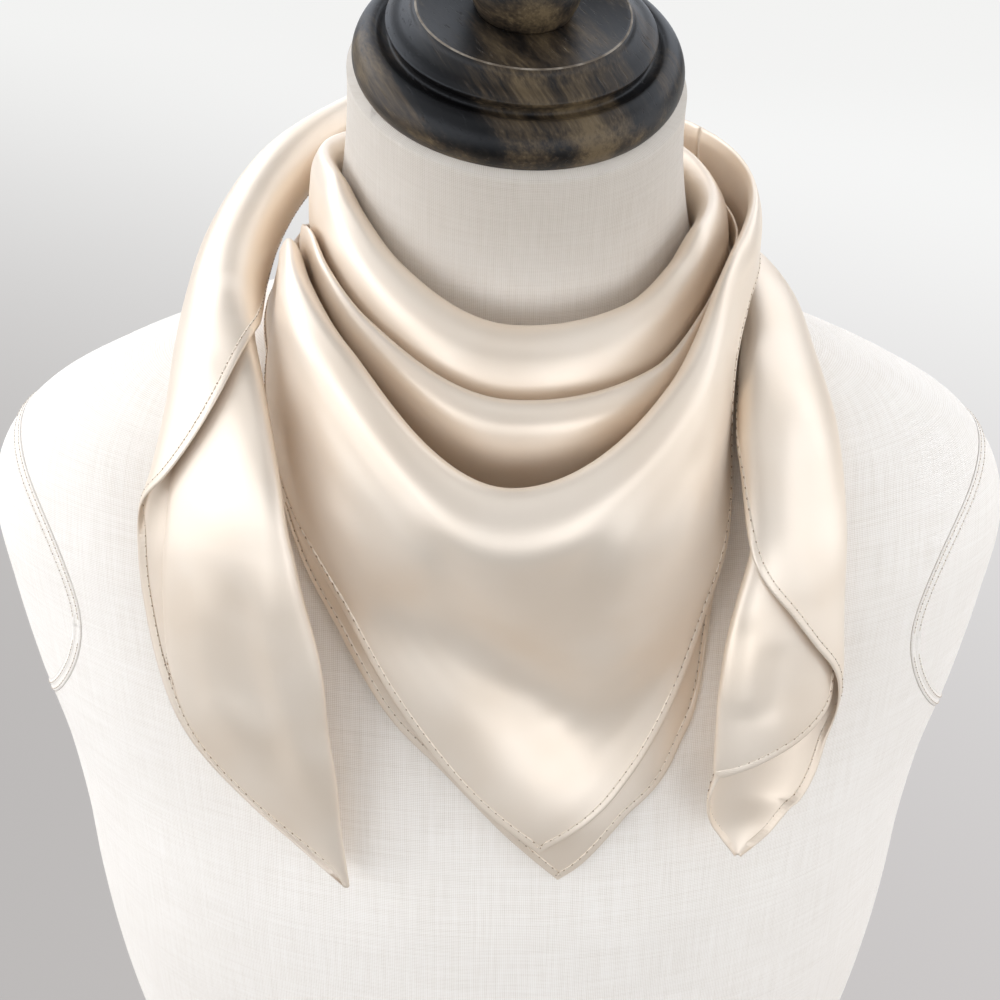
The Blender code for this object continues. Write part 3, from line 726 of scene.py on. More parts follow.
@dataclass(frozen=True)
class TurnedWood:
    """Dark stained hardwood with olive and brown streaks and open pores."""

    name: str = "dark_streaked_wood"
    grain_dip: float = -35.0        # degrees: the grain runs forward, right and down
    grain_turn: float = 60.0
    roughness: float = 0.36
    streaks: Stops = ((0.43, (0.0016, 0.0013, 0.0012)), (0.495, (0.010, 0.0076, 0.0056)),
                      (0.545, (0.044, 0.030, 0.017)), (0.62, (0.130, 0.090, 0.046)))

    def material(self) -> Material:
        """Write the material.

        Returns:
            The wood.
        """
        graph = Graph(self.name)
        turned = (math.radians(self.grain_dip), 0.0, math.radians(self.grain_turn))
        streak = graph.noise(graph.place((7.0, 62.0, 62.0), turned), 1.0, 5.0, 0.62)
        fine = graph.noise(graph.place((60.0, 900.0, 900.0), turned), 1.0, 3.0, 0.6)
        patch = graph.noise(graph.place((12.0, 30.0, 30.0), turned), 1.0)
        pores = fine.ramp(0.60, 0.72)
        return graph.shade(
            base_color=graph.colour(streak * 0.52 + fine * 0.14 + patch * 0.34, self.streaks),
            roughness=self.roughness + 0.16 * streak + 0.10 * pores,
            normal=graph.bump(streak * 0.5 - pores * 0.5, 0.00016),
            coat_weight=0.02, coat_roughness=0.25, specular_ior_level=0.26)


@dataclass(frozen=True)
class GlowingFloor:
    """A plain studio floor whose pale tone is painted light: a soft glow, lighter further back and
    dark in front.
    """

    name: str = "glowing_floor"
    # Painted light: the floor's own paint is almost black; its pale look below is a glow.
    paint: Triple = (0.03, 0.03, 0.03)
    front: Triple = (0.05, 0.05, 0.05)
    near: Triple = (0.450, 0.430, 0.418)
    near_right: Triple = (0.600, 0.575, 0.570)
    far: Triple = (0.880, 0.880, 0.870)
    front_reach: tuple[float, float] = (-0.5, -0.1)     # metres to the back
    near_reach: tuple[float, float] = (-0.5, 0.7)       # metres to +X
    far_reach: tuple[float, float] = (0.1, 1.8)         # metres to the back
    tilt: float = 0.50          # how much further on the painted glow is for each metre to +X

    def material(self) -> Material:
        """Write the material.

        Returns:
            The floor's material.
        """
        graph = Graph(self.name)
        right, back, _ = graph.parts(graph.place())
        cloud = graph.noise(graph.place(), 2.0)
        # Painted light: the glow is dark in front of the form, mid near it, and lighter further
        # back and to +X.
        near = graph.blend(right.ramp(*self.near_reach), self.near, self.near_right)
        place = back + right * self.tilt + cloud * 0.05
        tone = graph.blend(place.ramp(*self.far_reach), near, self.far)
        glow = graph.blend(back.ramp(*self.front_reach), self.front, tone)
        return graph.shade(base_color=self.paint, emission_color=glow, emission_strength=1.0,
                           roughness=0.9 - 0.05 * cloud, specular_ior_level=0.1)


# ==================================================================== mesh building
def placed(name: str, data: ID) -> Object:
    """A new object in the scene."""
    item = bpy.data.objects.new(name, data)
    bpy.context.scene.collection.objects.link(item)
    return item


def new_object(name: str, points: Array, faces: Sequence[Sequence[int]],
               finish: Material) -> Object:
    """Make a smooth mesh object from points in mm.

    Args:
        name: the piece's name.
        points: one row a vertex.
        faces: vertex numbers of each face.
        finish: its material.

    Returns:
        The object, linked into the scene.
    """
    mesh = bpy.data.meshes.new(name)
    mesh.from_pydata((np.asarray(points) * MM).tolist(), [], [list(face) for face in faces])
    mesh.materials.append(finish)
    mesh.shade_smooth()
    return placed(name, mesh)


def grid_faces(columns: int, rows: int, closed_columns: bool = False,
               closed_rows: bool = False) -> list[tuple[int, int, int, int]]:
    """Quads of a grid whose vertices run row by row in each column.

    Args:
        columns: how many columns.
        rows: how many rows.
        closed_columns: whether the last column joins the first.
        closed_rows: whether the last row joins the first.

    Returns:
        The faces' vertex numbers.
    """
    faces = []
    for column in range(columns if closed_columns else columns - 1):
        beside = (column + 1) % columns
        for row in range(rows if closed_rows else rows - 1):
            above = (row + 1) % rows
            faces.append((column * rows + row, beside * rows + row, beside * rows + above,
                          column * rows + above))
    return faces


def tube_faces(rings: int, sides: int) -> list[tuple[int, ...]]:
    """Faces of a closed tube of rings: its quads first and then its two ends."""
    last = (rings - 1) * sides
    return [*grid_faces(rings, sides, closed_rows=True), tuple(range(sides))[::-1],
            tuple(range(last, last + sides))]


def add_cloth_layer(item: Object, across: Array, along: Array,
                    girth: Array | float = 0.0) -> None:
    """Write cloth coordinates in metres to a UV layer.

    Args:
        item: the piece, with its quads before its other faces.
        across: the first coordinate of each vertex, or of each row of them, in mm.
        along: the second.
        girth: on a closed piece, the way round it there, in mm.
    """
    layer = item.data.uv_layers.new(name=CLOTH_LAYER)
    index = np.empty(len(item.data.loops), dtype=np.int64)
    item.data.loops.foreach_get("vertex_index", index)
    across, along, girth = (np.ravel(values)[index]
                            for values in np.broadcast_arrays(across, along, girth))
    quads = 4 * sum(len(face.vertices) == 4 for face in item.data.polygons)
    corner, way = across[:quads].reshape(-1, 4), girth[:quads].reshape(-1, 4)
    closing = np.ptp(corner, axis=1, keepdims=True) > 0.5 * way
    across[:quads] = np.where(closing & (corner < 0.0), corner + way, corner).ravel()
    layer.data.foreach_set("uv", (np.stack([across, along], axis=1) * MM).ravel())


def grid_lengths(grid: Array) -> tuple[Array, Array]:
    """Lengths walked over a grid.

    Args:
        grid: points (columns, rows, 3) in mm.

    Returns:
        The way from the first column and the way from each column's middle, in mm.
    """
    over = np.linalg.norm(np.diff(grid, axis=0), axis=2).mean(axis=1)
    across = np.concatenate(([0.0], np.cumsum(over)))[:, None] + np.zeros(grid.shape[:2])
    along = walked_rows(grid)
    return across, along - along.mean(axis=1, keepdims=True)


def give_wall(item: Object) -> None:
    """Thicken an open cloth surface to the silk's wall."""
    wall = item.modifiers.new("wall", "SOLIDIFY")
    wall.thickness, wall.offset = SILK_WALL * MM, 0.0


def rework(item: Object, change: Callable[[bmesh.types.BMesh], object]) -> None:
    """Open a piece's mesh, change it and write it back.

    Args:
        item: the piece.
        change: what is done to its mesh.
    """
    work = bmesh.new()
    work.from_mesh(item.data)
    change(work)
    work.to_mesh(item.data)
    work.free()


def flip_outward(item: Object) -> None:
    """Make a closed mesh's faces agree and point out."""
    rework(item, lambda work: bmesh.ops.recalc_face_normals(work, faces=work.faces))


def declare(slot: str, *pieces: Object) -> None:
    """Let pieces ride on the part's one body."""
    for piece in pieces:
        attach(piece, BODY)


# ==================================================================== folds and creases
CREASE_STEPS = 13           # of a crease's smooth line


@dataclass(frozen=True)
class Crease:
    """A soft trough or ridge along a line of points on a cloth, in mm; height is out of it."""

    path: tuple[Triple, ...]
    height: float
    width: float
    fade: float = 0.25      # share of its length over which each end fades


def raise_creases(grid: Array, creases: Sequence[Crease], outward: float = 1.0) -> Array:
    """Move a grid's points out or in along its creases.

    Args:
        grid: points (columns, rows, 3) in mm.
        creases: the troughs and ridges.
        outward: -1 where the grid's own normals point in.

    Returns:
        The moved points.
    """
    normals = grid_normals(grid) * outward
    offset = np.zeros(grid.shape[:2])
    for crease in creases:
        rough = np.asarray(crease.path, float)
        way = walked(rough)
        line = smooth_through(way, rough, np.linspace(0.0, way[-1], CREASE_STEPS))
        length = walked(line)
        best = np.full(grid.shape[:2], 1e9)
        share = np.zeros(grid.shape[:2])
        for k in range(len(line) - 1):
            step = line[k + 1] - line[k]
            t = np.clip(((grid - line[k]) @ step) / np.dot(step, step), 0.0, 1.0)
            far = np.linalg.norm(grid - (line[k] + t[..., None] * step), axis=-1)
            nearer = far < best
            best = np.where(nearer, far, best)
            along = length[k] + t * (length[k + 1] - length[k])
            share = np.where(nearer, along / length[-1], share)
        ends = ease(share / crease.fade) * ease((1.0 - share) / crease.fade)
        offset += crease.height * np.exp(-(best / crease.width)**2) * ends
    return grid + normals * offset[..., None]


def soft_waves(grid: Array, height: float, length: float, seed: float) -> Array:
    """Lay faint, uneven waves over a grid, as limp cloth has.

    Args:
        grid: points (columns, rows, 3) in mm.
        height: the most that a point moves.
        length: rough distance between two waves.
        seed: shifts the pattern.

    Returns:
        The moved points.
    """
    turns = ((1.0, 0.31, 0.55, 0.0), (-0.47, 0.92, 0.35, 1.7), (0.38, -0.55, 1.21, 3.9),
             (1.63, 0.77, -0.84, 5.2))
    offset = np.zeros(grid.shape[:2])
    for a, b, c, phase in turns:
        offset += np.sin((grid @ np.array([a, b, c])) * math.tau / (1.6 * length) + phase + seed)
    return grid + grid_normals(grid) * (offset * height / len(turns))[..., None]


class Skin:
    """The form's surface, which keeps cloth clear of it."""

    def __init__(self, form: Object) -> None:
        """Take the form's mesh into a search tree.

        Args:
            form: the form.
        """
        work = bmesh.new()
        work.from_mesh(form.data)
        self.tree = BVHTree.FromBMesh(work)
        work.free()

    def clear(self, grid: Array) -> Array:
        """Move every point that is too near the form straight off it.

        Args:
            grid: points in mm.

        Returns:
            The moved points.
        """
        flat = grid.reshape(-1, 3).copy()
        for index, point in enumerate(flat):
            place, normal, _, _ = self.tree.find_nearest(Vector(point * MM))
            away = (Vector(point * MM) - place).dot(normal) / MM
            if away < CLEARANCE:
                flat[index] = point + (CLEARANCE - away) * np.array(normal)
        return flat.reshape(grid.shape)

    def height_below(self, angle: float, reach: float) -> float:
        """Find the form straight below a place beside the neck.

        Args:
            angle: degrees round from the front.
            reach: distance from the neck's axis, in mm.

        Returns:
            The form's height there in mm, and 0 beside it.
        """
        start = around(angle, np.array(reach), np.array(ABOVE_ALL)) + ASIDE
        place, _, _, _ = self.tree.ray_cast(Vector(start * MM), Vector((0.0, 0.0, -1.0)))
        return place.z / MM if place is not None else 0.0


# ==================================================================== sewing
BEAD_STEPS = np.array([-0.5, -0.4, 0.0, 0.4, 0.5])          # shares of a bead's length
BEAD_RISE = np.array([-0.28, -0.06, 0.06, -0.06, -0.28])    # out of the cloth, in mm
BEAD_WIDTH = np.array([0.35, 0.9, 1.0, 0.9, 0.35])          # shares of its radius
BEAD_SIDES = 6
HEM_INSETS = np.array([0.10, 0.24, 0.45, 0.66, 0.80, 0.92, 1.0])    # shares of a hem's width
HEM_RISES = np.array([0.72, 0.95, 1.0, 0.93, 0.84, 0.80, 0.40])     # shares of its height


class Sewing(NamedTuple):
    """The materials of a row of stitches."""

    thread: Material
    # painted shade for the needle holes
    hole: Material


class StitchPath(NamedTuple):
    """Places along a row of stitches in mm, with the ways out of the cloth and across it."""

    places: Array
    out: Array
    across: Array

    def at(self, lengths: Array) -> "StitchPath":
        """The path at lengths walked along it."""
        length = walked(self.places)
        return StitchPath(*(values_at(lengths, length, values) for values in self))


@dataclass(frozen=True)
class StitchRow:
    """Stitches as short beads in mm, with a dark bead of painted needle-hole shade between two."""

    pitch: float = 3.6
    stitch: float = 2.5
    hole: float = 0.85
    radius: float = 0.20

    def build(self, name: str, paths: Sequence[StitchPath], sewing: Sewing) -> Object:
        """Sew along every path.

        Args:
            name: the piece's name.
            paths: where the stitches go.
            sewing: their materials.

        Returns:
            The piece.
        """
        points: list[Array] = []
        faces: list[tuple[int, ...]] = []
        # Beads of thread first, then dark beads of painted needle-hole shade between them.
        for fewer, (bead, start) in enumerate(((self.stitch, 1.0), (self.hole, 1.5))):
            sewn = len(faces)
            for path in paths:
                count = int(walked(path.places)[-1] / self.pitch) - 2 - fewer
                for centre in self.pitch * (start + np.arange(count)):
                    self._bead(points, faces, path.at(centre + BEAD_STEPS * bead))
        item = new_object(name, np.array(points), faces, sewing.thread)
        item.data.materials.append(sewing.hole)
        for face in item.data.polygons[sewn:]:
            face.material_index = 1
        return item

    def _bead(self, points: list[Array], faces: list[tuple[int, ...]],
              spot: StitchPath) -> None:
        """Add a closed bead, which rises out of the cloth and goes down into it again.

        Args:
            points: the piece's points so far.
            faces: its faces so far.
            spot: the path at each ring of the bead.
        """
        out, across = unit(spot.out), unit(spot.across)
        middle = spot.places + BEAD_RISE[:, None] * out
        radii = self.radius * BEAD_WIDTH
        turn = (np.arange(BEAD_SIDES) * math.tau / BEAD_SIDES)[None, :, None]
        rings = middle[:, None] + radii[:, None, None] * (
            np.cos(turn) * across[:, None] + np.sin(turn) * out[:, None])
        start = len(points)
        points.extend(rings.reshape(-1, 3))
        faces.extend(tuple(start + k for k in face) for face in tube_faces(*rings.shape[:2]))


class HemLine(NamedTuple):
    """The places of a hem, in mm, one row for each step along it."""

    edge: Array
    rows: Array        # (steps, insets, 3), from the edge inwards
    inward: Array
    normal: Array
    length: Array


@dataclass
class Hem:
    """A narrow turned and topstitched hem along one edge of a grid."""

    name: str
    grid: Array
    side: Edge
    first: int = 0
    last: int | None = None
    width: float = 2.9
    height: float = 0.50
    stitch_inset: float = 2.25
    stitches: StitchRow = StitchRow()
    step: float = 0.62
    pucker: float = 0.24        # share of its height that is pulled in at each stitch
    fade: float = 4.0           # mm at each end over which it sinks into the cloth
    sunk: float = 0.12          # share of its height at the ends
    stitch_seat: float = 0.86   # share of its height at which the stitches lie
    lip: float = 0.2            # mm of the fold past the cloth's edge
    searched: int = 40          # rows of the grid in which its width is found
    near: float = 1.6           # mm in from the edge, where the way in is measured
    least_slant: float = 0.45

    def line(self) -> HemLine:
        """Work out the hem's places on the cloth.

        Returns:
            The hem's places.
        """
        grid = self.grid if self.side is Edge.FIRST else self.grid[:, ::-1]
        grid = grid[self.first:self.last, :self.searched]
        tangent = unit(np.gradient(grid[:, 0], axis=0))
        depth = walked_rows(grid)
        near = np.array([np.argmax(row > self.near) or 1 for row in depth])
        inside = grid[np.arange(len(grid)), near] - grid[:, 0]
        square = np.linalg.norm(np.cross(unit(inside), tangent), axis=1)
        insets = HEM_INSETS * self.width
        rows = np.array([values_at(insets / max(slant, self.least_slant), length, column)
                         for column, length, slant in zip(grid, depth, square)])
        total = walked(grid[:, 0])
        even = np.linspace(0.0, total[-1], max(int(total[-1] / self.step), 4))
        rows = smooth_through(total, rows, even)
        tangent = unit(np.gradient(rows[:, 0], axis=0))
        inward = unit(rows[:, 3] - rows[:, 0])
        inward = unit(inward - (inward * tangent).sum(axis=1, keepdims=True) * tangent)
        normal = unit(np.cross(tangent, inward))
        return HemLine(rows[:, 0], rows, inward, normal, even)

    def build(self, silk: Material, sewing: Sewing) -> list[Object]:
        """Make the folded strip and its stitches.

        Args:
            silk: the strip's material.
            sewing: the stitches' materials.

        Returns:
            The two pieces.
        """
        line = self.line()
        height = 1.0 - self.pucker * np.cos(line.length / self.stitches.pitch * math.tau)**2
        ends = ease(line.length / self.fade) * ease((line.length[-1] - line.length) / self.fade)
        height = height * (self.sunk + (1.0 - self.sunk) * ends)
        rise = HEM_RISES[None, :] * self.height * height[:, None]
        rise[:, -1] = SILK_WALL / 2
        lift = rise[..., None] * line.normal[:, None, :]
        top, under = line.rows + lift, line.rows - lift
        lip = (line.edge - self.lip * line.inward)[:, None, :]
        ring = np.concatenate((top[:, ::-1], lip, under), axis=1)
        faces = tube_faces(*ring.shape[:2])
        strip = new_object(self.name, ring.reshape(-1, 3), faces, silk)
        add_cloth_layer(strip, line.length[:, None], np.arange(ring.shape[1])[None, :] * 0.5)
        seat = line.edge + self.stitch_inset * line.inward
        paths = [StitchPath(seat + face * self.stitch_seat * self.height * line.normal,
                            face * line.normal, line.inward) for face in (1.0, -1.0)]
        return [strip, self.stitches.build(self.name + "_stitches", paths, sewing)]


# ==================================================================== dress form
# Places across an armhole seam, from its middle, and their rise off the form, in mm.
WELT = np.array(((-2.6, 0.02), (-1.9, 0.36), (-0.7, 0.42), (-0.15, 0.10), (0.15, 0.10),
                 (0.7, 0.42), (1.9, 0.36), (2.6, 0.02), (1.2, -0.5), (-1.2, -0.5)))
WELT_STITCHES = 1.3         # mm from the seam's middle to each row of stitches
WELT_SEAT = 0.4             # mm from the form out to the stitches
EVENED = 4                  # places to each side over which a seam's normal is evened out
BESIDE_ALL = 400.0          # mm to the side and up, clear of the form
ABOVE_ALL = 700.0


@dataclass
class DressForm:
    """The limbless linen torso and neck, on a flat base, with a seam at each armhole."""

    columns: int = 168
    torso_rows: int = 130
    neck_rows: int = 34
    offset_from: float = 375.0      # height where the shift to the neck's middle starts
    top_radius: float = 56.0
    top: Triple = (4.0, -19.5, 521.5)
    bend: float = 1.3               # of the neck's way forward
    tilt: float = 18.0
    lean: float = 4.0
    seam_steps: int = 240
    seam_height: float = 329.0      # of the armhole's middle
    seam_long: float = 60.0         # from its middle to its front
    seam_tall: float = 57.0
    seam_stitches: StitchRow = StitchRow(pitch=3.2, stitch=2.2)

    def neck_frame(self, share: float) -> tuple[Array, Array, Array]:
        """Work out where a section of the neck is.

        Args:
            share: how far up the neck it is, 1 at the cut top.

        Returns:
            Its centre and its directions across and forward.
        """
        base = np.array([NECK_OFFSET, 0.0, FORM_ROWS[-1].height])
        rise = np.array([share, share**self.bend, share])
        tilt, lean = (math.radians(turn) * ease(share) for turn in (self.tilt, self.lean))
        return (base + (np.array(self.top) - base) * rise,
                np.array([math.cos(lean), 0.0, -math.sin(lean)]),
                np.array([0.0, -math.cos(tilt), -math.sin(tilt)]))

    def _ring(self, centre: Array, across: Array, forward: Array,
              sizes: Sequence[float]) -> Array:
        """Lay out a closed ring.

        Args:
            centre: its middle, in mm.
            across: the direction of its half width.
            forward: the direction of its front.
            sizes: its half width and its reach to the front and to the back.

        Returns:
            Its points.
        """
        turn = np.linspace(0.0, math.tau, self.columns, endpoint=False)
        depth = np.where(np.cos(turn) > 0, sizes[1], sizes[2])
        return (centre + np.sin(turn)[:, None] * sizes[0] * across
                + (np.cos(turn) * depth)[:, None] * forward)

    def rings(self) -> Array:
        """Lay out the form.

        Returns:
            All rings from the flat base to the cut top of the neck.
        """
        table = np.array(FORM_ROWS, float)
        length = walked(table[:, :2])
        rows = spline(length, table, np.linspace(0.0, length[-1], self.torso_rows))
        found = []
        for height, *sizes in rows:
            over = (height - self.offset_from) / (table[-1, 0] - self.offset_from)
            centre = np.array([NECK_OFFSET * ease(over), 0.0, height])
            found.append(self._ring(centre, ACROSS, FORWARD, sizes))
        for step in range(1, self.neck_rows + 1):
            share = step / self.neck_rows
            widen = 1.0 - (1.0 - share)**2
            sizes = [start + (self.top_radius - start) * widen for start in FORM_ROWS[-1][1:]]
            found.append(self._ring(*self.neck_frame(share), sizes))
        return np.array(found)

    def build(self, linen: Material, sewing: Sewing) -> list[Object]:
        """Make the covered form and its seams.

        Args:
            linen: the cover's material.
            sewing: the stitches' materials.

        Returns:
            The pieces, the form first.
        """
        rings = self.rings()
        faces = [face[::-1] for face in tube_faces(*rings.shape[:2])]
        form = new_object("linen_dress_form", rings.reshape(-1, 3), faces, linen)
        self._cloth_coordinates(form, rings)
        flip_outward(form)
        declare("linen", form)
        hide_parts("dress_form")
        skin, pieces = Skin(form), [form]
        for name, side in (("armhole_seam_left", -1.0), ("armhole_seam_right", 1.0)):
            pieces += self._armhole(name, skin, side, linen, sewing)
        return pieces

    def _cloth_coordinates(self, form: Object, rings: Array) -> None:
        """Give the linen its thread directions: round the form from its front, and up it.

        Args:
            form: the form's mesh.
            rings: its points.
        """
        steps = np.linalg.norm(np.roll(rings, -1, axis=1) - rings, axis=2)
        girth = steps.sum(axis=1, keepdims=True)
        way = np.cumsum(steps, axis=1) - steps
        climb = np.linalg.norm(np.diff(rings, axis=0), axis=2).mean(axis=1)
        rise = np.concatenate(([0.0], np.cumsum(climb)))
        add_cloth_layer(form, np.where(way > girth / 2, way - girth, way), rise[:, None], girth)

    def _armhole(self, name: str, skin: Skin, side: float, linen: Material,
                 sewing: Sewing) -> list[Object]:
        """Make a flat oval seam with two rows of stitches, round where an arm would start.

        Args:
            name: the seam's name.
            skin: the form's surface.
            side: 1 at +X and -1 at -X.
            linen: the seam's material.
            sewing: the stitches' materials.

        Returns:
            The seam and its stitches.
        """
        line, normal = [], []
        for turn in np.linspace(0.0, math.tau, self.seam_steps, endpoint=False):
            start = np.array([side * BESIDE_ALL, -self.seam_long * math.cos(turn),
                              self.seam_height + self.seam_tall * math.sin(turn)])
            place, out, _, _ = skin.tree.ray_cast(Vector(start * MM), Vector((-side, 0.0, 0.0)))
            line.append(np.array(place) / MM)
            normal.append(np.array(out))
        line = np.array(line)
        normal = unit(sum(np.roll(normal, k, axis=0) for k in range(-EVENED, EVENED + 1)))
        across = unit(np.cross(normal, np.roll(line, -1, axis=0) - np.roll(line, 1, axis=0)))
        ring = np.stack([line + aside * across + rise * normal for aside, rise in WELT], axis=1)
        welt = new_object(name, ring.reshape(-1, 3), grid_faces(*ring.shape[:2], True, True), linen)
        flip_outward(welt)
        line, normal, across = (np.concatenate((a, a[:1])) for a in (line, normal, across))
        add_cloth_layer(welt, walked(line)[:-1, None], WELT[None, :, 0])
        paths = [StitchPath(line + aside * across + WELT_SEAT * normal, normal, across)
                 for aside in (-WELT_STITCHES, WELT_STITCHES)]
        stitches = self.seam_stitches.build(name + "_stitches", paths, sewing)
        declare("linen", welt, stitches)
        return [welt, stitches]


# ==================================================================== turned wood
class Turning(NamedTuple):
    """A turned piece: its profile in mm, which is rounded between two of its points."""

    name: str
    node: str
    first: int
    last: int
    profile: Profile


CAP = Turning("turned_neck_cap", "neck_cap", 1, 18, (
    (0.0, 24.1), (33.4, 24.1), (34.3, 24.5), (35.0, 24.1), (36.2, 22.4), (39.0, 20.4),
    (42.8, 19.2), (43.9, 18.2), (43.6, 17.0), (42.2, 15.2), (42.6, 13.4), (44.4, 13.3),
    (47.2, 14.6), (49.6, 14.1), (51.9, 12.3), (53.7, 9.0), (54.3, 5.4), (53.5, 2.2),
    (52.2, 0.0), (0.0, 0.0)))
FINIAL = Turning("turned_finial", "finial", 0, 7, (
    (0.0, 51.6), (5.6, 50.7), (10.8, 47.9), (15.1, 43.3), (17.6, 37.4), (17.9, 32.0),
    (16.9, 27.6), (15.4, 24.45), (0.0, 24.45)))


@dataclass
class NeckCap:
    """The turned cap on the neck and the ball finial on it."""

    form: DressForm
    turnings: tuple[Turning, ...] = (CAP, FINIAL)
    gap: float = 0.35
    steps: int = 144
    finer: int = 6                              # rings for each point of a profile
    lip: tuple[float, float] = (34.3, 24.5)     # middle of the lip's painted highlight, on the profile
    lip_reach: float = 0.55

    def build(self, wood: Material, lip_highlight: Material) -> list[Object]:
        """Turn both pieces on the neck's axis."""
        return [self._turn(turning, (wood, lip_highlight)) for turning in self.turnings]

    def _profile(self, turning: Turning) -> Array:
        """Round a coarse profile into a fine one, keeping its flat ends.

        Args:
            turning: the piece.

        Returns:
            The fine profile.
        """
        table = np.array(turning.profile)
        middle = table[turning.first:turning.last + 1]
        length = walked(middle)
        even = np.linspace(0.0, length[-1], self.finer * len(middle))
        smooth = smooth_through(length, middle, even)
        return np.concatenate((table[:turning.first], smooth, table[turning.last + 1:]))

    def _turn(self, turning: Turning, woods: tuple[Material, Material]) -> Object:
        """Sweep a profile round the neck's tilted axis.

        Args:
            turning: the piece.
            woods: its wood and the painted highlight of its lip.

        Returns:
            The piece.
        """
        centre, across, forward = self.form.neck_frame(1.0)
        up = unit(np.cross(forward, across))
        forward = np.cross(across, up) * -1.0
        base = centre + up * self.gap
        fine = self._profile(turning)
        turn = np.linspace(0.0, math.tau, self.steps, endpoint=False)
        ring = np.cos(turn)[:, None] * across + np.sin(turn)[:, None] * forward
        inner = fine[fine[:, 0] > 0.0]
        reach, height = inner.T[..., None, None]
        points = base + reach * ring + height * up
        rows, columns = points.shape[:2]
        hubs = [base + up * end for end in (fine[0, 1], fine[-1, 1])]
        faces: list[tuple[int, ...]] = list(grid_faces(rows, columns, closed_rows=True))
        for hub, row in enumerate((0, rows - 1)):
            faces += [(rows * columns + hub, row * columns + k, row * columns + (k + 1) % columns)
                      for k in range(columns)]
        item = new_object(turning.name, np.concatenate((points.reshape(-1, 3), hubs)), faces,
                          woods[0])
        item.data.materials.append(woods[1])
        # Painted highlight: the rows round the lip take the pale second material.
        for row in np.flatnonzero(np.linalg.norm(inner[:-1] - self.lip, axis=1) < self.lip_reach):
            for face in item.data.polygons[row * columns:(row + 1) * columns]:
                face.material_index = 1
        flip_outward(item)
        declare("dark_wood", item)
        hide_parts(turning.node)
        return item


# ==================================================================== draped silk
class Cut(NamedTuple):
    """A stretch of the square: its name, flat size in metres, and what carries it."""

    name: str
    nodes: tuple[str, ...]          # the solids that it stands for
    flat: tuple[float, float]
    area: float
    rests_on: tuple[str, ...]


FRONT_CUT = Cut("front_folds", ("collar_roll", "middle_fold", "cowl_panel"), (0.42, 0.27), 0.0860,
                ("linen_dress_form",))
UNDER_CUT = Cut("under_layer_silk", ("under_layer",), (0.19, 0.14), 0.0160, ("front_folds",))
LEFT_CUT = Cut("left_scarf_end", ("nape_wrap_left", "left_tail"), (0.40, 0.15), 0.0430,
               ("linen_dress_form", "front_folds"))
RIGHT_CUT = Cut("right_scarf_end", ("nape_wrap_right", "right_tail"), (0.39, 0.12), 0.0330,
                ("linen_dress_form", "front_folds"))
WELD_REACH = 0.02           # mm within which two points are taken for one


@dataclass
class Drape(ABC):
    """A stretch of the scarf: one sheet of silk with its hems and their stitches."""

    cut: Cut

    @abstractmethod
    def lay_out(self) -> Array:
        """Work out the cloth's points (columns, rows, 3) in mm."""

    @abstractmethod
    def hems(self, grid: Array) -> list[Hem]:
        """The hems along the edges of the cloth's points."""

    def sheet(self, grid: Array, silk: Material) -> Object:
        """Make the cloth.

        Args:
            grid: its points in mm.
            silk: its material.

        Returns:
            The cloth.
        """
        sheet = new_object(self.cut.name, grid.reshape(-1, 3), grid_faces(*grid.shape[:2]), silk)
        add_cloth_layer(sheet, *grid_lengths(grid))
        give_wall(sheet)
        return sheet

    def build(self, silk: Material, sewing: Sewing) -> list[Object]:
        """Make the cloth, its hems and their stitches.

        Args:
            silk: the cloth's material.
            sewing: the stitches' materials.

        Returns:
            The pieces, the cloth first.
        """
        grid = self.lay_out()
        sheet = self.sheet(grid, silk)
        hems = [piece for hem in self.hems(grid) for piece in hem.build(silk, sewing)]
        declare("silk_satin", sheet, *hems)
        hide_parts(*self.cut.nodes)
        return [sheet, *hems]


# ==================================================================== front folds
class Waves(NamedTuple):
    """Faint waves in limp cloth: their height and rough length in mm, and their pattern's shift."""

    height: float
    length: float
    seed: float


FRONT_WAVES = Waves(0.12, 46.0, 0.4)
END_WAVES = Waves(0.15, 40.0, 2.1)
FRONT_CREASES: tuple[Crease, ...] = (
    Crease(((-70, -84, 440), (-62, -98, 424), (-48, -112, 410), (-28, -123, 400)), -0.9, 8.0),
    Crease(((-68, -88, 428), (-64, -93, 412), (-59, -100, 390)), 0.9, 6.0),
    Crease(((34, -113, 350), (46, -107, 357), (60, -101, 369)), 0.5, 5.0),
    Crease(((38, -108, 336), (50, -103, 343), (63, -99, 353)), 0.45, 4.5),
    Crease(((60, -100, 432), (64, -97, 410), (62, -101, 388)), -0.6, 7.0),
    Crease(((18, -136, 410), (34, -130, 404), (48, -118, 408)), 0.4, 6.0),
)


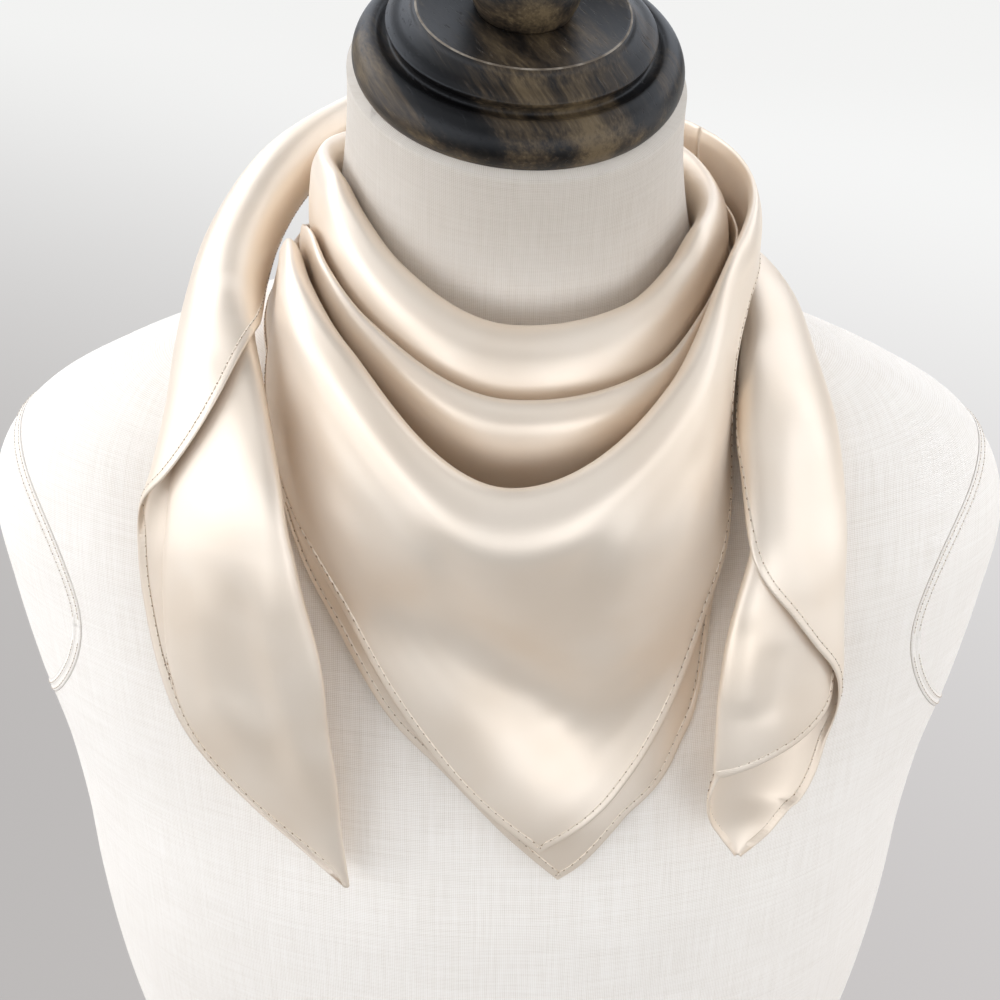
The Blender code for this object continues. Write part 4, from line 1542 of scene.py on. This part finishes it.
@dataclass
class FrontFolds(Drape):
    """Collar roll, middle fold and cowl as one sheet that turns down into a valley between them."""

    skin: Skin
    columns_left: int = 112
    columns_right: int = 98
    collar_steps: int = 30
    valley_steps: int = 8
    middle_steps: int = 24
    crest_steps: int = 26
    panel_steps: int = 50
    nape_columns: int = 64
    drop: float = 1.6           # of a valley's turn below its lower wall
    front_width: float = 75.0   # degrees round, where the front's shape has faded out
    even_from: float = 88.0     # degrees round, where the cowl's rows start to become even
    even_over: float = 30.0
    nape_blend: int = 12        # columns over which the nape's ends meet the sheet
    grid: Array = field(default_factory=lambda: np.zeros((0, 0, 3)))

    @property
    def cowl_steps(self) -> int:
        """Steps from the cowl's foot to its hem."""
        return self.crest_steps + self.panel_steps

    @staticmethod
    def fold_row(angle: float) -> FoldRow:
        """The fold sizes at an angle."""
        table = np.array(FOLD_ROWS, float)
        return FoldRow(*spline(table[:, 0], table, [angle])[0])

    def front_share(self, angle: float) -> float:
        """1 at the front of the neck, falling to 0 at its sides."""
        return float(ease(1.0 - abs(angle) / self.front_width))

    @staticmethod
    def collar_section(inner: float, top: float, outer: float) -> Profile:
        """The collar roll: up its inner face, over the top and down its outer face.

        Args:
            inner: reach of its inner face.
            top: its height.
            outer: reach of its outer face.

        Returns:
            Its control points.
        """
        width = outer - inner
        return ((inner + 0.6, top - 19), (inner, top - 11), (inner + 0.20 * width, top - 3.0),
                (inner + 0.5 * width, top), (inner + 0.83 * width, top - 4.0), (outer, top - 12),
                (outer + 0.8, top - 24))

    @staticmethod
    def middle_walls(row: FoldRow) -> tuple[float, float]:
        """Reaches of the middle fold's inner and outer wall."""
        inner = row.collar_out + LAYER + 0.4
        return inner, max(row.middle_out, inner + 1.9)

    def middle_section(self, row: FoldRow, front: float) -> Profile:
        """The middle fold: up behind the collar, over its ridge and down its face.

        Args:
            row: the fold sizes.
            front: 1 at the front of the neck and 0 at its sides.

        Returns:
            Its control points.
        """
        inner, outer = self.middle_walls(row)
        top, width, drop = row.middle_top, outer - inner, 10 + 32 * front
        return ((inner + 0.4, top - 8 - 5 * front), (inner, top - 5), (inner + 0.45 * width, top),
                (outer - 0.1 * width, top - 4.5), (outer, top - 6 - 7 * front),
                (outer - 3.0 * front, top - 0.65 * drop), (outer - 5.0 * front, top - drop))

    def beside_middle(self, row: FoldRow, front: float, height: float) -> float:
        """Least reach at a height for cloth that lies outside the middle fold."""
        reaches, heights = np.array(self.middle_section(row, front)[:3:-1]).T
        return float(np.interp(height, heights, reaches)) + LAYER + 0.5

    def cowl_crest(self, row: FoldRow, front: float) -> Profile:
        """The cowl's ridge: up out of the pocket and over to the top of the panel.

        Args:
            row: the fold sizes.
            front: 1 at the front of the neck and 0 at its sides.

        Returns:
            Its control points.
        """
        inner = max(row.cowl_in, self.middle_walls(row)[1] + LAYER + 0.3)
        top, outer = row.cowl_top, row.cowl_out
        width, crest, drop = outer - inner, 3.5 + 4.5 * front, 16 + 22 * front
        foot = max(inner - 7.5 * front, self.beside_middle(row, front, top - drop))
        knee = max(inner - 3.8 * front, self.beside_middle(row, front, top - 0.6 * drop))
        return ((foot, top - drop), (knee, top - 0.6 * drop), (inner, top - crest),
                (inner + 0.45 * width, top), (outer - 0.12 * width, top - crest),
                (outer, top - 2.1 * crest))

    @staticmethod
    def panel_reach(angle: float, height: float, reach: float, heights: Array) -> Array:
        """Reach of the cowl panel at an angle, from its crest down.

        Args:
            angle: degrees round from the front.
            height: where the crest ends and the panel starts.
            reach: the panel's reach there.
            heights: where to work it out.

        Returns:
            One reach for each height.
        """
        table = np.array(PANEL_ROWS, float)
        low = spline(table[:, 0], table[:, 1:], [angle])[0]
        knots = [knot for knot in zip(PANEL_HEIGHTS, low) if knot[0] < height - KNOT_GAP]
        curves = []
        for kept in (knots, knots[1:]):
            at, reaches = np.array([(height, reach), *kept]).T
            curves.append(spline(-at, reaches, np.negative(heights)))
        share = ease((height - KNOT_GAP - knots[0][0]) / KNOT_BLEND)
        hung = share * curves[0] + (1.0 - share) * curves[1]
        chest = np.array(CHEST_ROWS, float)
        _, middle, depth = smooth_through(chest[:, 0], chest, np.array([angle]))[0]
        top = ease((height - np.asarray(heights)) / CHEST_SPREAD)
        return hung - depth * top * np.exp(-((np.asarray(heights) - middle) / CHEST_SPREAD)**2)

    @staticmethod
    def hem_height(angles: Array, left: Sequence[HemPoint],
                   right: Sequence[HemPoint]) -> Array:
        """Follow a hem that comes down to a corner from both sides.

        Args:
            angles: degrees round from the front.
            left: its points down to the corner.
            right: its points up from there.

        Returns:
            Its height at each angle.
        """
        low, high = np.array(left, float), np.array(right, float)
        return np.where(angles <= low[-1, 0], spline(low[:, 0], low[:, 1], angles),
                        spline(high[:, 0], high[:, 1], angles))

    def valley(self, first: tuple[float, float], last: tuple[float, float],
               least: float) -> list[tuple[float, float]]:
        """Turn between two walls.

        Args:
            first: reach and height of the first wall's foot.
            last: reach and height of the last wall's foot.
            least: height that the turn stays above.

        Returns:
            Its control points.
        """
        low = max(min(first[1], last[1]) - self.drop, least)
        middle = 0.5 * (first[0] + last[0])
        return [(first[0] * 0.75 + middle * 0.25, low + 0.55), (middle, low - 0.35),
                (last[0] * 0.75 + middle * 0.25, low + 0.55)]

    def section(self, angle: float, hem: float) -> Array:
        """The whole sheet at one angle, from inside the collar to the cowl's hem.

        Args:
            angle: degrees round from the front.
            hem: height of the cowl's hem there.

        Returns:
            Rows of reach and height.
        """
        row, front = self.fold_row(angle), self.front_share(angle)
        collar = list(self.collar_section(row.collar_in, row.collar_top, row.collar_out))
        middle = list(self.middle_section(row, front))
        crest = list(self.cowl_crest(row, front))
        least = self.skin.height_below(angle, crest[0][0]) + 3.0
        least = min(least, middle[-1][1] + 1.0)
        crest[0] = (crest[0][0], max(crest[0][1], least))
        crest[1] = (crest[1][0], max(crest[1][1], crest[0][1] + 0.35 * (crest[2][1] - crest[0][1])))
        reach, height = crest[-1]
        heights = np.linspace(height, hem, PANEL_KNOTS)[1:]
        panel = list(zip(self.panel_reach(angle, height, reach, heights), heights))
        collar[-1] = (collar[-1][0], max(collar[-1][1], middle[0][1] + 0.5))
        first = self.valley(collar[-1], middle[0], 0.0)
        second = self.valley(middle[-1], crest[0], least - 1.0)
        points = collar + first + middle + second + crest + panel
        marks = np.cumsum([0, len(collar) - 1, len(first) + 1, len(middle) - 1, len(second) + 1,
                           len(crest) - 1, len(panel)])
        counts = (self.collar_steps, self.valley_steps, self.middle_steps, self.valley_steps,
                  self.crest_steps, self.panel_steps)
        curve = landmark_curve(points, marks, counts)
        return self._even_ends(curve, abs(angle))

    def _even_ends(self, curve: Array, angle: float) -> Array:
        """Let the cowl's rows become even in length towards the sheet's two ends.

        Args:
            curve: rows of reach and height.
            angle: degrees round from the front, without its sign.

        Returns:
            The rows, moved along the cowl.
        """
        share = float(ease((angle - self.even_from) / self.even_over))
        cowl = curve[-self.cowl_steps - 1:]
        length = walked(cowl)
        even = np.linspace(0.0, length[-1], len(cowl))
        moved = values_at((1.0 - share) * length + share * even, length, cowl)
        return np.concatenate((curve[:-self.cowl_steps - 1], moved))

    def settled(self, grid: Array) -> Array:
        """Move a grid to the neck, with its creases and waves, clear of the form."""
        grid = raise_creases(grid + ASIDE, FRONT_CREASES, -1.0)
        return self.skin.clear(soft_waves(grid, *FRONT_WAVES))

    def lay_out(self) -> Array:
        """Work out the sheet's points, with one column on the hem's corner.

        Returns:
            Its points in mm, without the nape's.
        """
        angles = np.concatenate((np.linspace(-FRONT_END, HEM_CORNER, self.columns_left),
                                 np.linspace(HEM_CORNER, FRONT_END, self.columns_right)[1:]))
        hems = self.hem_height(angles, COWL_HEM_LEFT, COWL_HEM_RIGHT)
        self.grid = self.settled(np.array([around(angle, *self.section(angle, hem).T)
                                           for angle, hem in zip(angles, hems)]))
        return self.grid

    def nape_grid(self) -> Array:
        """Lay the collar roll behind the neck, from one end of the sheet to the other.

        Returns:
            Its points in mm.
        """
        table = np.array(NAPE_ROWS, float)
        rows = spline(table[:, 0], table,
                      np.linspace(table[0, 0], table[-1, 0], self.nape_columns))
        marks, counts = (0, 6), (self.collar_steps,)
        found = [around(angle, *landmark_curve(self.collar_section(*sizes), marks, counts).T)
                 for angle, *sizes in rows]
        grid = self.skin.clear(np.array(found) + ASIDE)
        for end, column in ((0, -1), (-1, 0)):
            shift = self.grid[column, :self.collar_steps + 1] - grid[end]
            for step in range(self.nape_blend):
                share = float(ease(1.0 - step / self.nape_blend))
                grid[step if end == 0 else -1 - step] += share * shift
        return grid

    def sheet(self, grid: Array, silk: Material) -> Object:
        """Make the cloth, with the nape's part joined to both of its ends.

        Args:
            grid: its points in mm, without the nape's.
            silk: its material.

        Returns:
            The cloth.
        """
        nape = self.nape_grid()
        faces = grid_faces(*grid.shape[:2])
        offset = grid.shape[0] * grid.shape[1]
        faces += [tuple(offset + k for k in face) for face in grid_faces(*nape.shape[:2])]
        sheet = new_object(self.cut.name, np.concatenate((grid.reshape(-1, 3),
                                                          nape.reshape(-1, 3))), faces, silk)
        (across, along), (over, down) = grid_lengths(grid), grid_lengths(nape)
        add_cloth_layer(sheet, np.concatenate((across.ravel(), over.ravel() + across.max())),
                        np.concatenate((along.ravel(), down.ravel())))
        rework(sheet, lambda work: bmesh.ops.remove_doubles(work, verts=work.verts,
                                                            dist=WELD_REACH * MM))
        sheet.data.shade_smooth()
        give_wall(sheet)
        return sheet

    def hems(self, grid: Array) -> list[Hem]:
        """The hem along the cowl."""
        return [Hem("cowl_hem", grid, Edge.LAST)]


# ==================================================================== under layer
@dataclass
class UnderLayer(Drape):
    """The second layer of the folded square, seen as a margin below the cowl's hem."""

    folds: FrontFolds
    columns_left: int = 84
    columns_right: int = 62
    rows: int = 46
    depth: float = 95.0         # of the layer above its hem
    below_crest: float = 6.0
    inset: float = 1.55 * LAYER

    def lay_out(self) -> Array:
        """Work out the layer's points from the panel's, moved in.

        Returns:
            Its points in mm.
        """
        left = np.linspace(UNDER_HEM_LEFT[0].angle, UNDER_CORNER, self.columns_left)
        right = np.linspace(UNDER_CORNER, UNDER_HEM_RIGHT[-1].angle, self.columns_right)
        angles = np.concatenate((left, right[1:]))
        hems = self.folds.hem_height(angles, UNDER_HEM_LEFT, UNDER_HEM_RIGHT)
        grid = []
        for angle, hem in zip(angles, hems):
            row = self.folds.fold_row(angle)
            reach, height = self.folds.cowl_crest(row, self.folds.front_share(angle))[-1]
            top = min(height - self.below_crest, hem + self.depth)
            heights = np.linspace(top, hem, self.rows)
            inward = self.folds.panel_reach(angle, height, reach, heights) - self.inset
            grid.append(around(angle, inward, heights))
        return self.folds.settled(np.array(grid))

    def hems(self, grid: Array) -> list[Hem]:
        """The hem along the layer's edge."""
        return [Hem("under_layer_hem", grid, Edge.LAST)]


# ==================================================================== scarf ends
@dataclass
class ScarfEnd(Drape):
    """One end of the scarf: the wrap round the nape and the tail over the shoulder."""

    side: Side
    folds: FrontFolds
    rows: tuple[TailRow, ...]
    creases: tuple[Crease, ...]
    between: int = 12           # columns from one row of the table to the next
    lead: int = 26              # columns from the cowl to the first row
    calm: float = 20.0          # columns over which the creases and waves come in
    thinnest: tuple[float, float] = (0.7, 0.35)     # half width and half depth, in mm

    def _section(self, row: TailRow, towards: Array, count: int) -> Array:
        """Wind one section: a flattened spiral from the first hem round to the last.

        Args:
            row: its place and sizes.
            towards: the direction of the tail there.
            count: how many points it has.

        Returns:
            Its points in mm.
        """
        face = facing(row.azimuth, row.lift)
        face = unit(face - np.dot(face, towards) * towards)
        inward = self.side.value * np.cross(face, towards)
        turn = np.linspace(row.first_hem, row.last_hem, count) * math.pi
        wound = (turn - row.first_hem * math.pi - math.pi) / math.pi
        inner = ease(wound) + 0.5 * np.clip(wound - 1.0, 0.0, None)
        width = row.half_width - TURN_LAYER * inner
        width = width - np.where(np.cos(turn) < 0, row.inset * ease(wound), 0.0)
        width = np.maximum(width, self.thinnest[0])
        depth = np.maximum(row.half_depth - TURN_LAYER * inner, self.thinnest[1])
        centre = np.array([row.x, row.y, row.z])
        return (centre + (width * np.cos(turn))[:, None] * inward
                + (depth * np.sin(turn))[:, None] * face)

    def lay_out(self) -> Array:
        """Work out the end's points, from the cowl's last section to the tip.

        Returns:
            Its points in mm.
        """
        column, beside = (-1, -5) if self.side is Side.LEFT else (0, 4)
        cowl = self.folds.grid[:, -self.folds.cowl_steps - 1:] - ASIDE
        start, before = cowl[column], cowl[beside]
        table = np.array(self.rows, float)
        length = walked(table[:, :3])
        at = np.concatenate([np.linspace(length[k], length[k + 1], self.between, endpoint=False)
                             for k in range(len(length) - 1)] + [length[-1:]])
        fine = smooth_through(length, table, at)
        direction = unit(np.gradient(fine[:, :3], at, axis=0))
        sections = np.array([self._section(TailRow(*row), towards, len(start))
                             for row, towards in zip(fine, direction)])
        gap = float(np.linalg.norm(sections[0].mean(axis=0) - start.mean(axis=0)))
        back = float(np.linalg.norm(start.mean(axis=0) - before.mean(axis=0)))
        knots = np.array([-back, 0.0, gap, gap + at[2] - at[0]])
        lead = smooth_through(knots, np.array([before, start, sections[0], sections[2]]),
                              np.linspace(0.0, gap, self.lead + 1)[:-1])
        grid = np.concatenate((lead, sections)) + ASIDE
        waved = soft_waves(raise_creases(grid, self.creases, self.side.value), *END_WAVES)
        calm = ease(np.arange(len(grid)) / self.calm)[:, None, None]
        return self.folds.skin.clear(grid + (waved - grid) * calm)

    def hems(self, grid: Array) -> list[Hem]:
        """The hems along both edges, short of the tip."""
        label = self.side.name.lower()
        return [Hem(label + "_first_hem", grid, Edge.FIRST, self.lead + 6, -3),
                Hem(label + "_last_hem", grid, Edge.LAST, 0, -3)]


LEFT_CREASES: tuple[Crease, ...] = (
    Crease(((-72, -113, 402), (-70, -121, 360), (-64, -122, 322), (-58, -121, 290)), -1.5, 7.0),
    Crease(((-94, -109, 388), (-94, -113, 342), (-80, -118, 305)), -0.9, 8.0),
    Crease(((-83, -115, 394), (-81, -119, 345), (-71, -121, 300)), 0.9, 7.5),
    Crease(((-101, -108, 336), (-84, -118, 329), (-70, -122, 322)), -0.7, 8.0),
    Crease(((-92, -46, 462), (-93, -66, 452), (-90, -88, 438)), -0.7, 6.0),
    Crease(((32, 84, 476), (-8, 96, 480), (-46, 84, 480)), -0.9, 4.5),
)
RIGHT_CREASES: tuple[Crease, ...] = (
    Crease(((82, -42, 446), (82, -70, 428), (80, -88, 408)), -1.0, 6.0),
    Crease(((100, -68, 426), (99, -92, 402), (102, -104, 374)), 0.8, 6.5),
    Crease(((85, -112, 372), (84, -118, 352), (83, -120, 334)), -0.8, 6.0),
    Crease(((94, -112, 362), (93, -116, 344), (90, -119, 330)), 0.6, 5.0),
    Crease(((-30, 78, 456), (6, 82, 462), (40, 74, 456)), -0.8, 4.5),
)


# ==================================================================== studio
class Lamp(NamedTuple):
    """A soft light 1.6 m from the scarf: degrees round from the front and up, sizes in m, watts."""

    name: str
    turn: float
    rise: float
    wide: float
    tall: float
    power: float


LAMPS = (
    Lamp("left_window", -90, 8, 1.5, 1.5, 15.0), Lamp("right_window", 85, 10, 1.4, 1.4, 10.5),
    Lamp("left_low", -50, 4, 1.2, 1.2, 10.0), Lamp("right_low", 40, 0, 1.2, 1.0, 6.5),
    Lamp("front_low", 0, -6, 2.4, 1.0, 13.5), Lamp("left_high", -45, 52, 1.2, 1.2, 3.0),
    Lamp("right_high", 45, 52, 1.2, 1.2, 3.2), Lamp("back_wall", 180, 24, 1.6, 1.6, 12.0),
    Lamp("left_back", -125, 38, 1.3, 1.3, 15.0), Lamp("right_back", 125, 38, 1.3, 1.3, 10.0),
)
DAYLIGHT = (0.930, 0.99, 1.095)


@dataclass
class Studio:
    """A floor that glows with painted light, soft light and the camera."""

    pitch: float = 29.8
    roll: float = 0.943
    distance: float = 0.656
    target: Triple = (0.0006, 0.0, 0.3492)
    half_view: float = 16.5
    lamp_reach: float = 1.6
    aim: Triple = (0.0, -0.05, 0.38)
    air: float = 0.20           # strength of the even light from all round
    floor_half: float = 4000.0  # mm
    floor_count: int = 9

    def build(self) -> None:
        """Set up the whole studio."""
        self._floor()
        self._world()
        self._camera()
        for lamp in LAMPS:
            self._area(lamp)
        bpy.context.scene.view_settings.view_transform = "Standard"
        bpy.context.scene.view_settings.look = "None"

    def _floor(self) -> None:
        """A wide, flat floor at the height that the form stands on."""
        places = np.linspace(-self.floor_half, self.floor_half, self.floor_count)
        faces = [face[::-1] for face in grid_faces(self.floor_count, self.floor_count)]
        floor = new_object("studio_floor", np.array([(x, y, 0.0) for x in places for y in places]),
                           faces, GlowingFloor().material())
        if floor.data.polygons[0].normal.z < 0.0:
            floor.data.flip_normals()

    def _world(self) -> None:
        """Even pale surroundings."""
        world = bpy.data.worlds.new("studio_air")
        world.use_nodes = True
        back = world.node_tree.nodes["Background"]
        back.inputs["Color"].default_value = (*DAYLIGHT, 1.0)
        back.inputs["Strength"].default_value = self.air
        bpy.context.scene.world = world

    def _area(self, lamp: Lamp) -> None:
        """Hang a soft light, aimed at the scarf.

        Args:
            lamp: its place and size.
        """
        light = bpy.data.lights.new(lamp.name, "AREA")
        light.shape, light.color = "RECTANGLE", DAYLIGHT
        light.size, light.size_y, light.energy = lamp.wide, lamp.tall, lamp.power
        way = Vector(facing(lamp.turn, lamp.rise))
        item = placed(lamp.name, light)
        item.location = Vector(self.aim) + way * self.lamp_reach
        item.rotation_euler = (-way).to_track_quat("-Z", "Y").to_euler()

    def _camera(self) -> None:
        """A camera that looks down on the cowl from the front."""
        pitch, roll = math.radians(self.pitch), math.radians(self.roll)
        ahead = Vector((0.0, math.cos(pitch), -math.sin(pitch)))
        side = Vector((1.0, 0.0, 0.0))
        up = side.cross(ahead)
        right = side * math.cos(roll) + up * math.sin(roll)
        top = up * math.cos(roll) - side * math.sin(roll)
        lens = bpy.data.cameras.new("front_camera")
        lens.sensor_width = 36.0
        lens.lens = lens.sensor_width / 2 / math.tan(math.radians(self.half_view))
        lens.clip_start, lens.clip_end = 0.01, 50.0
        item = placed("front_camera", lens)
        item.matrix_world = (Matrix.Translation(Vector(self.target) - ahead * self.distance)
                             @ Matrix((right, top, -ahead)).transposed().to_4x4())
        bpy.context.scene.camera = item


def main() -> None:
    """Build every sub-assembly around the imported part."""
    logging.basicConfig(level=logging.INFO, format="%(name)s: %(message)s")
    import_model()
    silk = Satin().material()
    sewing = Sewing(SEWING_THREAD.material(), NEEDLE_HOLE_SHADE.material())
    Studio().build()
    form = DressForm()
    made = form.build(Linen().material(), sewing)
    made += NeckCap(form).build(TurnedWood().material(), LIP_HIGHLIGHT.material())
    folds = FrontFolds(FRONT_CUT, Skin(made[0]))
    for drape in (folds, UnderLayer(UNDER_CUT, folds),
                  ScarfEnd(LEFT_CUT, Side.LEFT, folds, LEFT_ROWS, LEFT_CREASES),
                  ScarfEnd(RIGHT_CUT, Side.RIGHT, folds, RIGHT_ROWS, RIGHT_CREASES)):
        made += drape.build(silk, sewing)
    for piece in made:
        LOG.info("%s: %d faces", piece.name, len(piece.data.polygons))
    bpy.context.view_layer.update()


if __name__ == "__main__":
    main()
